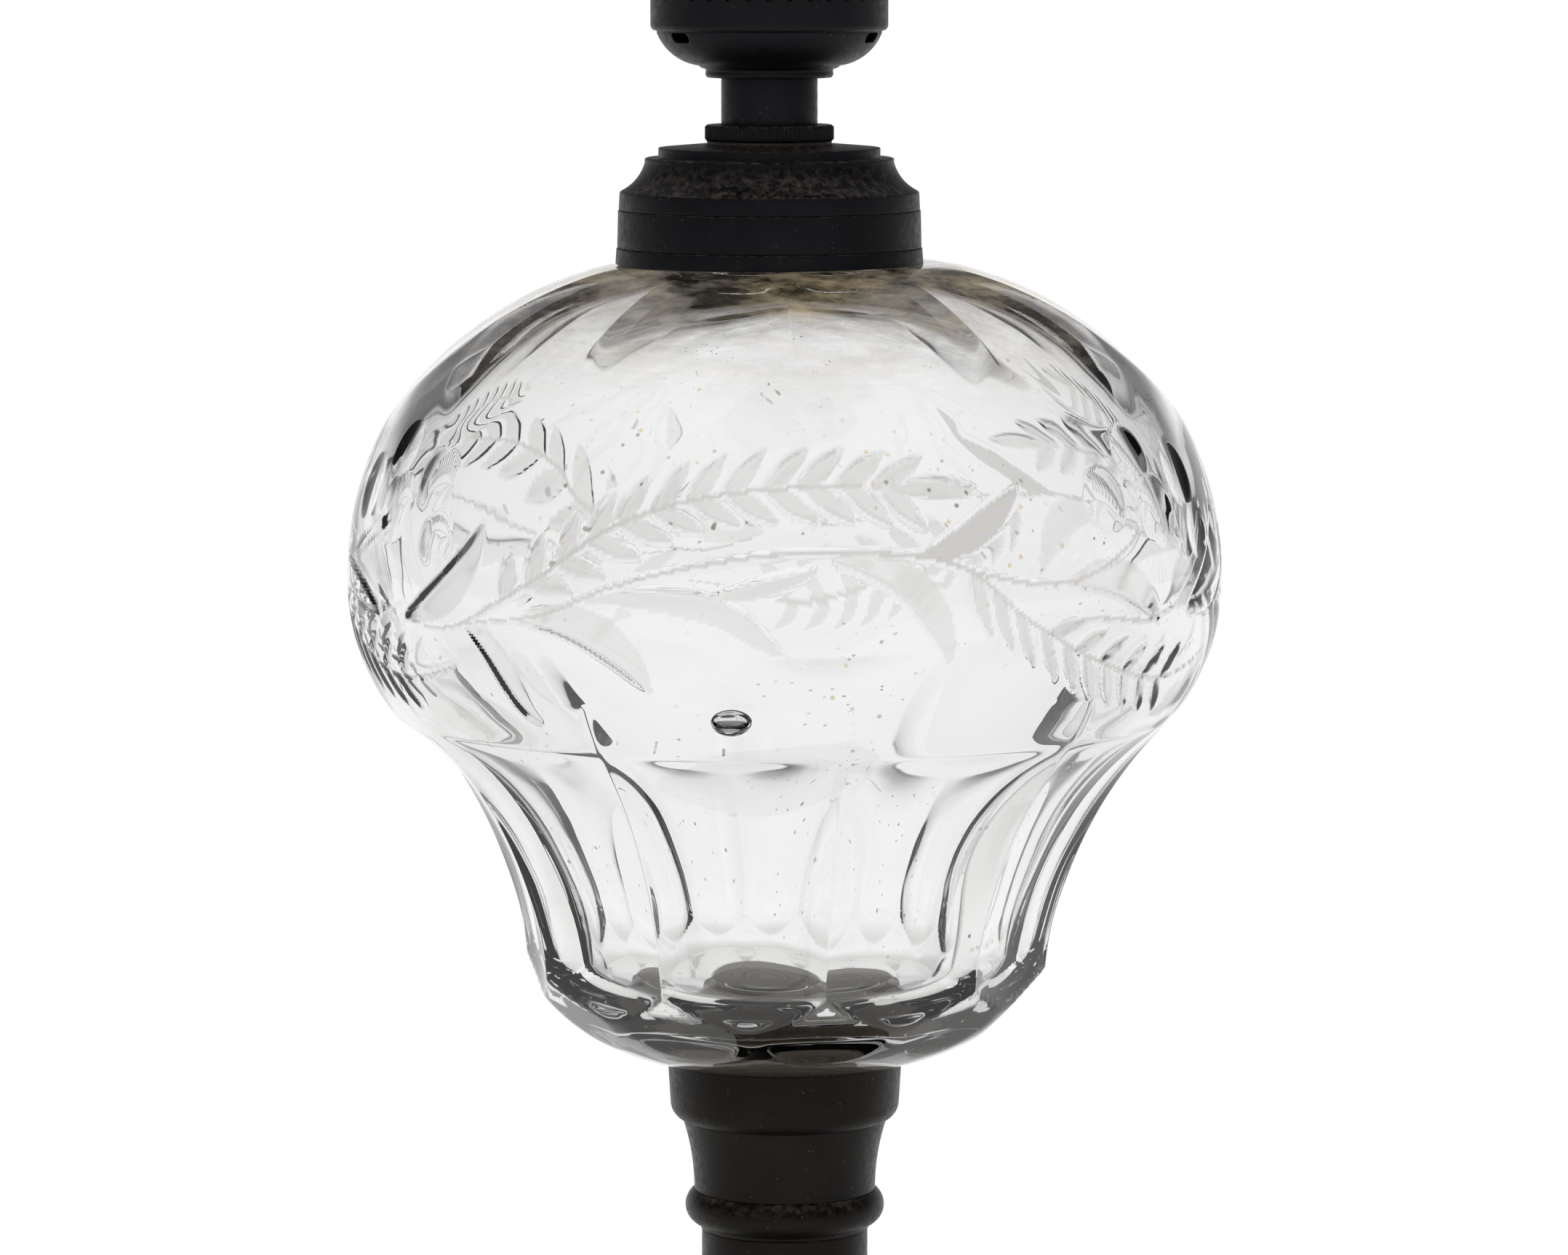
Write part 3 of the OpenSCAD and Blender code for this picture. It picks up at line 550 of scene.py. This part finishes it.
new_r = grid_r + depth * inward[:, 0]
new_h = grid_h + depth * inward[:, 1]
rad = np.radians(grid_az)
outer = np.stack([new_r * np.sin(rad), -new_r * np.cos(rad), SEAT + new_h], -1)

# The inner wall was blown, so it waves a little. It has a quarter of the columns.
IN_COLUMNS = COLUMNS // 4
in_r, in_h = np.array(inside).T
in_az, in_r = np.meshgrid(np.arange(IN_COLUMNS) * 360 / IN_COLUMNS, in_r, indexing="ij")
in_h = np.broadcast_to(in_h, in_r.shape)
in_rad = np.radians(in_az)
free = smooth_step(in_h, 20, 40) * (1 - smooth_step(in_h, 132, 142))
in_r = in_r + free * (0.3 * np.sin(3 * in_rad + in_h / 9) + 0.2 * np.sin(5 * in_rad - in_h / 6 + 1))
inner = np.stack([in_r * np.sin(in_rad), -in_r * np.cos(in_rad), SEAT + in_h], -1)

rows, in_rows = outer.shape[1], inner.shape[1]
co = [outer.reshape(-1, 3), inner.reshape(-1, 3)]
base = COLUMNS * rows
top = base + IN_COLUMNS * in_rows
co.append(np.array([[0, 0, SEAT - 7.9], [0, 0, SEAT + FLOOR]]))
faces = []
for c in range(COLUMNS):
    n = (c + 1) % COLUMNS
    faces += [(c * rows + i, n * rows + i, n * rows + i + 1, c * rows + i + 1) for i in range(rows - 1)]
    faces.append((top, n * rows, c * rows))
for c in range(IN_COLUMNS):
    a, b = base + c * in_rows, base + (c + 1) % IN_COLUMNS * in_rows
    faces += [(a + i, b + i, b + i + 1, a + i + 1) for i in range(in_rows - 1)]
    faces.append((a + in_rows - 1, b + in_rows - 1, top + 1))
    rim = [((4 * c + k) % COLUMNS) * rows + rows - 1 for k in range(5)]
    faces += [(rim[0], rim[1], a), (rim[1], rim[2], a), (rim[2], rim[3], b, a), (rim[3], rim[4], b)]
# A flattened bubble was left in the wall, low on the front.
turn, pitch = np.meshgrid(np.arange(32) * math.pi / 16, np.arange(1, 16) * math.pi / 16, indexing="ij")
sideways = 3.6 * np.cos(turn) * np.sin(pitch)
up = 2.5 * np.sin(turn) * np.sin(pitch)
deep = 1.5 * np.cos(pitch)
bubble_az, bubble_r, bubble_h = math.radians(-7), 75.4, 72.3
where_r = bubble_r + deep - 0.55 * up
bubble = np.stack([where_r * math.sin(bubble_az) + sideways * math.cos(bubble_az),
                   -where_r * math.cos(bubble_az) + sideways * math.sin(bubble_az), SEAT + bubble_h + up], -1)
start = top + 2
co.append(bubble.reshape(-1, 3))
poles = [[(bubble_r + d) * math.sin(bubble_az), -(bubble_r + d) * math.cos(bubble_az), SEAT + bubble_h]
         for d in (1.5, -1.5)]
co.append(np.array(poles))
last = start + 32 * 15
for c in range(32):
    a, b = start + c * 15, start + (c + 1) % 32 * 15
    faces += [(a + i, a + i + 1, b + i + 1, b + i) for i in range(14)]
    faces += [(last, a, b), (last + 1, b + 14, a + 14)]
font_mesh = bpy.data.meshes.new("font_glass")
co = np.concatenate(co) * MM
font_mesh.from_pydata(co.tolist(), [], faces)

font = bpy.data.objects.new("font_glass", font_mesh)
scene.collection.objects.link(font)
matt = font_mesh.attributes.new("ground", "FLOAT", "POINT")
clear = np.zeros(len(co) - base)
matt.data.foreach_set("value", np.concatenate([frost.reshape(-1), clear]).astype(np.float32))
close_up(font_mesh)

# Lead glass is clear and heavy, with a high refraction. It greys in its thick parts. Age leaves dust
# under the collar, specks outside, and brown dregs of oil dried on the inner floor.
lead_glass, tree, shader, place = new_material("lead_glass_cut")
shader.inputs["IOR"].default_value = 1.55
shader.inputs["Transmission Weight"].default_value = 1.0
where = add(tree, "SeparateXYZ", {"Vector": place})
ground_ = add(tree, "Attribute", attribute_name="ground")
ripple = add(tree, "TexNoise", {"Vector": place, "Scale": 45, "Detail": 2, "Roughness": 0.4})
wheel = add(tree, "TexNoise", {"Vector": place, "Scale": 900, "Detail": 3, "Roughness": 0.6})
greyed = add(tree, "Mix", {0: ground_.outputs["Fac"], 6: linear("ffffff"), 7: linear("c9c7c4")},
             data_type="RGBA")
tree.links.new(greyed.outputs[2], shader.inputs["Base Color"])
satin = add(tree, "MapRange", {"Value": ground_.outputs["Fac"], "To Min": 0.0, "To Max": 0.25})
tree.links.new(satin.outputs["Result"], shader.inputs["Roughness"])
wave = add(tree, "Bump", {"Height": ripple.outputs["Fac"], "Strength": 0.08, "Distance": 2 * MM})
tree.links.new(wave.outputs["Normal"], shader.inputs["Normal"])

radius = add(tree, "VectorMath", {0: place, 1: (1, 1, 0)}, operation="MULTIPLY")
radius = add(tree, "VectorMath", {0: radius.outputs["Vector"]}, operation="LENGTH")
layered = add(tree, "VectorMath", {0: place, 1: (1, 1, 4)}, operation="MULTIPLY")
cloud = add(tree, "TexNoise", {"Vector": layered.outputs["Vector"], "Scale": 60, "Detail": 7,
                               "Roughness": 0.7})
blotch = add(tree, "TexNoise", {"Vector": place, "Scale": 38, "Detail": 4, "Roughness": 0.6})
# Dust lies thickest against the collar and thins out down the shoulder.
under_collar = add(tree, "MapRange", {"Value": where.outputs["Z"], "From Min": (SEAT + 122) * MM,
                                      "From Max": (SEAT + 147) * MM}, interpolation_type="SMOOTHSTEP")
patch = add(tree, "MapRange", {"Value": cloud.outputs["Fac"], "From Min": 0.42, "From Max": 0.66})
dust = add(tree, "Math", {0: under_collar.outputs["Result"], 1: patch.outputs["Result"]},
           operation="MULTIPLY")
dust = add(tree, "Math", {0: dust.outputs["Value"], 1: 0.5}, operation="MULTIPLY")
# Single specks of dirt, a few tenths of a millimetre across, are scattered over all of it.
speck = add(tree, "TexVoronoi", {"Vector": place, "Scale": 230, "Randomness": 1.0})
dot = add(tree, "MapRange", {"Value": speck.outputs["Distance"], "From Min": 0.13, "From Max": 0.07})
crowd = add(tree, "MapRange", {"Value": blotch.outputs["Fac"], "From Min": 0.5, "From Max": 0.62})
dots = add(tree, "Math", {0: dot.outputs["Result"], 1: crowd.outputs["Result"]}, operation="MULTIPLY")
dots = add(tree, "Math", {0: dots.outputs["Value"], 1: 0.8}, operation="MULTIPLY")
grime = add(tree, "Math", {0: dust.outputs["Value"], 1: dots.outputs["Value"]}, operation="MAXIMUM")
# The dregs are a brown disc on the floor inside, with rings where the oil dried back.
on_floor = add(tree, "MapRange", {"Value": where.outputs["Z"], "From Min": (SEAT + FLOOR + 1.2) * MM,
                                  "From Max": (SEAT + FLOOR + 0.6) * MM})
not_under = add(tree, "MapRange", {"Value": where.outputs["Z"], "From Min": (SEAT + FLOOR - 0.8) * MM,
                                   "From Max": (SEAT + FLOOR - 0.4) * MM})
pool = add(tree, "MapRange", {"Value": radius.outputs["Value"], "From Min": 19.5 * MM, "From Max": 18 * MM})
dregs = add(tree, "Math", {0: on_floor.outputs["Result"], 1: pool.outputs["Result"]}, operation="MULTIPLY")
dregs = add(tree, "Math", {0: dregs.outputs["Value"], 1: not_under.outputs["Result"]}, operation="MULTIPLY")
dregs = add(tree, "Math", {0: dregs.outputs["Value"], 1: 0.85}, operation="MULTIPLY")
dirt_share = add(tree, "Math", {0: grime.outputs["Value"], 1: dregs.outputs["Value"]}, operation="MAXIMUM")
tide = add(tree, "TexNoise", {"W": radius.outputs["Value"], "Scale": 700, "Detail": 3}, noise_dimensions="1D")
brown = add(tree, "ValToRGB", {"Fac": tide.outputs["Fac"]},
            [(0.35, linear("6f6258")), (0.7, linear("b3a698"))])
dust_tint = add(tree, "ValToRGB", {"Fac": blotch.outputs["Fac"]},
                [(0.4, linear("b0a79b")), (0.62, linear("cdbb96"))])
dirt_tint = add(tree, "Mix", {0: dregs.outputs["Value"], 6: dust_tint.outputs["Color"],
                              7: brown.outputs["Color"]}, data_type="RGBA")
dirt = add(tree, "BsdfPrincipled", {"Base Color": dirt_tint.outputs[2], "Roughness": 0.8})
dirty = add(tree, "MixShader", {0: dirt_share.outputs["Value"], 1: shader.outputs["BSDF"],
                                2: dirt.outputs["BSDF"]})
ending = tree.nodes["Material Output"]
tree.links.new(dirty.outputs["Shader"], ending.inputs["Surface"])
tint = add(tree, "VolumeAbsorption", {"Color": linear("8c8c8b"), "Density": 9.0})
tree.links.new(tint.outputs["Volume"], ending.inputs["Volume"])
font_mesh.materials.append(lead_glass)
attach(font, "stand")
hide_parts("font")

# Collar: three pieces of spun brass sheet, blackened, one over the other, cemented on the glass neck
# a little off its axis. Dust lies brown in the cove.
COLLAR_X = -2.8
COLLAR_Z = SEAT + 147
COLLAR_R = 28.2
collar_finish = darkened_brass("bronzed_brass_collar", "100f13", "19181d", "3b3733", "5c534a", 0.7, 0.45)
collar_in = COLLAR_R - 1.8
turned("collar_skirt",
       [(collar_in, COLLAR_Z + 0.1), (COLLAR_R, COLLAR_Z + 0.1), (COLLAR_R - 0.2, COLLAR_Z + 2.95),
        (COLLAR_R - 0.4, COLLAR_Z + 3.1), (collar_in, COLLAR_Z + 3.1)],
       "stand", collar_finish, COLLAR_X, 0.3)
turned("collar_ring",
       [(collar_in, COLLAR_Z + 3.1), (COLLAR_R - 0.5, COLLAR_Z + 3.1), (COLLAR_R - 0.35, COLLAR_Z + 3.25),
        (COLLAR_R - 0.5, COLLAR_Z + 9.85), (COLLAR_R - 0.7, COLLAR_Z + 10), (collar_in, COLLAR_Z + 10)],
       "stand", collar_finish, COLLAR_X, 0.2)
THREAD_R = 11.1
z = COLLAR_Z
turned("collar_cap",
       [(collar_in, z + 10), (COLLAR_R - 0.8, z + 10), (COLLAR_R - 0.65, z + 10.15),
        (COLLAR_R - 0.8, z + 13.2)]
       + arc((COLLAR_R - 1.2, z + 13.5), (22.7, z + 19), -8.2, 20)
       + [(22.8, z + 19.3), (22.4, z + 19.5), (20.3, z + 19.5), (20.3, z + 21.3), (THREAD_R + 0.9, z + 22),
          (THREAD_R, z + 22), (THREAD_R, z + 12.6), (THREAD_R + 1.6, z + 12.6), (THREAD_R + 1.6, z + 19.7),
          (19, z + 19.5), (19, z + 17.9), (21.2, z + 17.7)]
       + arc((21.4, z + 17.3), (collar_in - 1, z + 12.2), 8.2, 10)
       + [(collar_in, z + 12.2)],
       "stand", collar_finish, COLLAR_X, 0.2)

# Washer: a ring punched from thick leather, soaked with oil, between collar and burner.
leather, tree, shader, place = new_material("oiled_leather")
grain = add(tree, "TexVoronoi", {"Vector": place, "Scale": 1800})
hide = add(tree, "ValToRGB", {"Fac": grain.outputs["Distance"]},
           [(0.2, linear("140e0a")), (0.8, linear("2a1b12"))])
tree.links.new(hide.outputs["Color"], shader.inputs["Base Color"])
shader.inputs["Roughness"].default_value = 0.6
pores = add(tree, "Bump", {"Height": grain.outputs["Distance"], "Strength": 0.4, "Distance": 0.2 * MM})
tree.links.new(pores.outputs["Normal"], shader.inputs["Normal"])
finish_node("burner_washer", leather)

# Burner outside: screw plug with a knurled flange, plain neck, spun bowl with three slots, and the
# perforated basket, all brass with the collar's dark finish. The seams are soldered inside.
finish_node("burner_basket", collar_finish)
FLANGE_R = 11.8
FLANGE_Z = COLLAR_Z + 22.5
NECK_R = 8.8
NECK_Z = FLANGE_Z + 3
BOWL_Z = NECK_Z + 8.6
BASKET_Z = BOWL_Z + 8.5
BASKET_R = 21.7
turned("burner_base",
       [(NECK_R - 0.7, FLANGE_Z - 8), (THREAD_R - 0.25, FLANGE_Z - 9), (THREAD_R - 0.25, FLANGE_Z),
        (FLANGE_R - 0.4, FLANGE_Z), (FLANGE_R, FLANGE_Z + 0.4), (FLANGE_R, FLANGE_Z + 1),
        (FLANGE_R, FLANGE_Z + 2), (FLANGE_R, FLANGE_Z + 2.6), (FLANGE_R - 0.4, NECK_Z),
        (NECK_R - 0.7, NECK_Z)],
       "burner", collar_finish, COLLAR_X, 0.15, columns=720,
       knurl=(90, 0.28, FLANGE_R - 0.35, FLANGE_Z + 0.25, NECK_Z - 0.25))
turned("burner_neck",
       [(NECK_R - 0.7, NECK_Z), (NECK_R, NECK_Z), (NECK_R, BOWL_Z), (NECK_R - 0.7, BOWL_Z)],
       "burner", collar_finish, COLLAR_X, 0.1)
RIM_R = BASKET_R - 1.15
foot_top = BOWL_Z + 1.3
bowl = turned("burner_bowl",
              [(NECK_R - 0.7, BOWL_Z), (11.4, BOWL_Z), (11.7, BOWL_Z + 0.5), (11.6, foot_top)]
              + arc((11.8, foot_top + 0.3), (12.9, foot_top + 0.85), 1.4, 6)
              + arc((12.9, foot_top + 0.85), (RIM_R, BASKET_Z - 0.4), 9.5, 24)
              + [(RIM_R, BASKET_Z - 0.4), (RIM_R, BASKET_Z + 1.6), (RIM_R - 0.8, BASKET_Z + 1.6),
                 (RIM_R - 0.8, BASKET_Z - 0.4)]
              + arc((RIM_R - 0.8, BASKET_Z - 0.6), (11.9, foot_top + 1.3), -9.8, 14)
              + [(11.9, foot_top + 1.3), (NECK_R - 0.7, foot_top + 0.7)],
              "burner", collar_finish, COLLAR_X, 0.15)


def pierced(piece, cutters):
    """Cuts holes through a piece with rounded blocks of (azimuth, radius, height, width, tall) in mm."""
    shape = bmesh.new()
    for azimuth_, reach, z_, wide, tall in cutters:
        block = bmesh.ops.create_cube(shape, size=1)["verts"]
        edges = {e for v in block for e in v.link_edges}
        turn_ = math.radians(azimuth_)
        bmesh.ops.scale(shape, vec=(6 * MM, wide * MM, tall * MM), verts=block)
        along = [e for e in edges if abs((e.verts[0].co - e.verts[1].co).x) > 3 * MM]
        rounded = bmesh.ops.bevel(shape, geom=along, offset=tall * 0.45 * MM, segments=6, affect="EDGES",
                                  profile=0.5)["verts"]
        block = list({v for v in block if v.is_valid} | set(rounded))
        facing = Matrix.Rotation(turn_ - math.pi / 2, 3, "Z")
        bmesh.ops.rotate(shape, verts=block, cent=(0, 0, 0), matrix=facing)
        bmesh.ops.translate(shape, verts=block, vec=((COLLAR_X + reach * math.sin(turn_)) * MM,
                                                     -reach * math.cos(turn_) * MM, z_ * MM))
    punch_mesh = bpy.data.meshes.new("punch")
    shape.to_mesh(punch_mesh)
    shape.free()
    punch = bpy.data.objects.new("punch", punch_mesh)
    scene.collection.objects.link(punch)
    cut = piece.modifiers.new("cut", "BOOLEAN")
    cut.object = punch
    cut.solver = "EXACT"
    ready = bpy.data.meshes.new_from_object(piece.evaluated_get(bpy.context.evaluated_depsgraph_get()))
    piece.modifiers.clear()
    piece.data = ready
    bpy.data.objects.remove(punch)
    ready.set_sharp_from_angle(angle=math.radians(40))


pierced(bowl, [(azimuth_, RIM_R - 0.5, BASKET_Z - 1.1, 5, 1.8) for azimuth_ in (-53, 67, -173)])

# Gallery: a spun ring that carries the chimney, and four springs of brass sheet that hold it.
GALLERY_Z = BASKET_Z + 21.3
turned("gallery",
       [(BASKET_R - 1.8, GALLERY_Z), (28.9, GALLERY_Z), (29.7, GALLERY_Z + 0.8), (29.7, GALLERY_Z + 4.6),
        (28.9, GALLERY_Z + 4.6), (28.9, GALLERY_Z + 1), (BASKET_R - 1.8, GALLERY_Z + 1)],
       "burner", collar_finish, COLLAR_X, 0.25)
finish_node("gallery_prongs", collar_finish)

# Burner inside: thin brass sheet left bare, stained golden brown to black by oil and heat.
inner_brass, tree, shader, place = new_material("oil_stained_brass")
cloud = add(tree, "TexNoise", {"Vector": place, "Scale": 160, "Detail": 6, "Roughness": 0.65})
stain = add(tree, "ValToRGB", {"Fac": cloud.outputs["Fac"]},
            [(0.3, linear("2e2214")), (0.7, linear("8a6c3a"))])
tree.links.new(stain.outputs["Color"], shader.inputs["Base Color"])
shader.inputs["Metallic"].default_value = 0.9
soot = add(tree, "MapRange", {"Value": cloud.outputs["Fac"], "From Min": 0.3, "From Max": 0.7,
                              "To Min": 0.6, "To Max": 0.35})
tree.links.new(soot.outputs["Result"], shader.inputs["Roughness"])
skin = add(tree, "Bump", {"Height": cloud.outputs["Fac"], "Strength": 0.15, "Distance": 0.2 * MM})
tree.links.new(skin.outputs["Normal"], shader.inputs["Normal"])
for name in ("air_diffuser", "wick_tube", "wick_spindle", "wick_wheels", "spindle_sleeve", "winder_knob",
             "flame_deflector"):
    finish_node(name, inner_brass)

# Wick: woven cotton tape, off-white with oil, charred at its top edge.
cotton, tree, shader, place = new_material("woven_cotton")
warp = add(tree, "TexWave", {"Vector": place, "Scale": 330, "Distortion": 0.4}, bands_direction="X")
weft = add(tree, "TexWave", {"Vector": place, "Scale": 260, "Distortion": 0.4}, bands_direction="Z")
weave = add(tree, "Math", {0: warp.outputs["Fac"], 1: weft.outputs["Fac"]}, operation="MULTIPLY")
up = add(tree, "SeparateXYZ", {"Vector": place})
char = add(tree, "MapRange", {"Value": up.outputs["Z"], "From Min": 408 * MM, "From Max": 411 * MM})
yarn = add(tree, "ValToRGB", {"Fac": weave.outputs["Value"]},
           [(0.0, linear("a08f6c")), (0.8, linear("d9ceb2"))])
burnt = add(tree, "Mix", {0: char.outputs["Result"], 6: yarn.outputs["Color"], 7: linear("14100d")},
            data_type="RGBA")
tree.links.new(burnt.outputs[2], shader.inputs["Base Color"])
shader.inputs["Roughness"].default_value = 0.95
threads = add(tree, "Bump", {"Height": weave.outputs["Value"], "Strength": 0.6, "Distance": 0.3 * MM})
tree.links.new(threads.outputs["Normal"], shader.inputs["Normal"])
finish_node("wick", cotton)

# Chimney: thin blown soda glass, a little wavy.
chimney_glass, tree, shader, place = new_material("blown_soda_glass")
shader.inputs["IOR"].default_value = 1.5
shader.inputs["Transmission Weight"].default_value = 1.0
shader.inputs["Roughness"].default_value = 0.0
ripple = add(tree, "TexNoise", {"Vector": place, "Scale": 30, "Detail": 2})
wave = add(tree, "Bump", {"Height": ripple.outputs["Fac"], "Strength": 0.06, "Distance": 2 * MM})
tree.links.new(wave.outputs["Normal"], shader.inputs["Normal"])
CHIMNEY_Z = GALLERY_Z + 1.3
FITTER, SWELL, PINCH, THROAT, MOUTH = (27, 17), (29.6, 28), (26.4, 80), (19.7, 119), (18.5, 190)


def at(point, wall=0.0):
    """A point of the chimney's outline, or the one behind it on the inside of the wall."""
    return (point[0] - wall, CHIMNEY_Z + point[1])


turned("chimney",
       [at((25, 0)), at((27, 0))] + arc(at(FITTER), at(SWELL), -26, 12) + arc(at(SWELL), at(PINCH), 66, 30)
       + arc(at(PINCH), at(THROAT), -110, 20) + [at(THROAT), at(MOUTH), at(MOUTH, 2)]
       + arc(at(THROAT, 2), at(PINCH, 2), 112, 20) + arc(at(PINCH, 2), at(SWELL, 2), -64, 30)
       + arc(at(SWELL, 2), at(FITTER, 2), 28, 12) + [at(FITTER, 2)],
       "chimney", chimney_glass, COLLAR_X, 0.7)

# Floor: a pale table top that runs out into white.
bpy.ops.mesh.primitive_circle_add(vertices=96, radius=4, fill_type="NGON", location=(0, 0, 0))
floor = bpy.context.object
floor.name = "floor"
table, tree, shader, place = new_material("pale_floor")
shader.inputs["Base Color"].default_value = linear("e6e6e4")
shader.inputs["Roughness"].default_value = 0.8
seen = add(tree, "LightPath")
straight = add(tree, "Math", {0: seen.outputs["Is Camera Ray"], 1: seen.outputs["Is Glossy Ray"]},
               operation="ADD")
straight = add(tree, "Math", {0: straight.outputs["Value"], 1: seen.outputs["Is Transmission Ray"]},
               operation="ADD", use_clamp=True)
out = add(tree, "VectorMath", {0: place}, operation="LENGTH")
far = add(tree, "MapRange", {"Value": out.outputs["Value"], "From Min": 0.25, "From Max": 0.62},
          interpolation_type="SMOOTHSTEP")
white_share = add(tree, "Math", {0: straight.outputs["Value"], 1: far.outputs["Result"]},
                  operation="MULTIPLY")
white = add(tree, "Emission", {"Color": linear("ffffff"), "Strength": 1.0})
blend = add(tree, "MixShader", {0: white_share.outputs["Value"], 1: shader.outputs["BSDF"],
                                2: white.outputs["Emission"]})
tree.links.new(blend.outputs["Shader"], tree.nodes["Material Output"].inputs["Surface"])
floor.data.materials.append(table)

# World: white behind the lamp. Glass and metal see a white horizon with grey above it.
world = bpy.data.worlds.new("studio")
scene.world = world
world.use_nodes = True
tree = world.node_tree
tree.nodes.clear()
seen = add(tree, "LightPath")
direction = add(tree, "TexCoord").outputs["Generated"]
split = add(tree, "SeparateXYZ", {"Vector": direction})
sky = add(tree, "ValToRGB", {"Fac": split.outputs["Z"]},
          [(0.0, linear("ffffff")), (0.1, linear("f4f4f4")), (0.24, linear("7c7c7e")),
           (0.5, linear("555557")), (0.85, linear("b0b0b0"))])
front_on = add(tree, "Math", {0: split.outputs["X"], 1: split.outputs["X"]}, operation="MULTIPLY")
flag = add(tree, "MapRange", {"Value": front_on.outputs["Value"], "From Min": 0.15, "From Max": 0.75,
                              "To Min": 1.0, "To Max": 0.45}, interpolation_type="SMOOTHSTEP")
mirrored = add(tree, "Background", {"Color": sky.outputs["Color"], "Strength": flag.outputs["Result"]})
plain = add(tree, "Background", {"Color": linear("ffffff"), "Strength": 0.75})
backdrop = add(tree, "Background", {"Color": linear("ffffff"), "Strength": 1.0})
sharp = add(tree, "Math", {0: seen.outputs["Is Glossy Ray"], 1: seen.outputs["Is Transmission Ray"]},
            operation="ADD", use_clamp=True)
lit = add(tree, "MixShader", {0: sharp.outputs["Value"], 1: plain.outputs[0], 2: mirrored.outputs[0]})
shown = add(tree, "MixShader", {0: seen.outputs["Is Camera Ray"], 1: lit.outputs[0], 2: backdrop.outputs[0]})
ending = add(tree, "OutputWorld", {"Surface": shown.outputs[0]})


# Lamps: two large soft boxes, the main one high on the left and a weaker one on the right.
def soft_box(name, place, size, watts):
    """A round soft box, aimed at the font. It lights the lamp but isn't mirrored in it."""
    lamp = bpy.data.lights.new(name, "AREA")
    lamp.shape = "DISK"
    lamp.size = size
    lamp.energy = watts
    made = bpy.data.objects.new(name, lamp)
    made.location = place
    aim = np.array([0, 0, 0.28]) - np.array(place)
    made.rotation_euler = (math.atan2(math.hypot(aim[0], aim[1]), -aim[2]), 0, math.atan2(-aim[0], aim[1]))
    made.visible_camera = made.visible_glossy = made.visible_transmission = False
    scene.collection.objects.link(made)


soft_box("main_soft_box", (-0.9, -0.9, 1.3), 0.7, 12)
soft_box("side_soft_box", (1.2, -0.5, 0.8), 0.7, 5)
scene.view_settings.view_transform = "Standard"
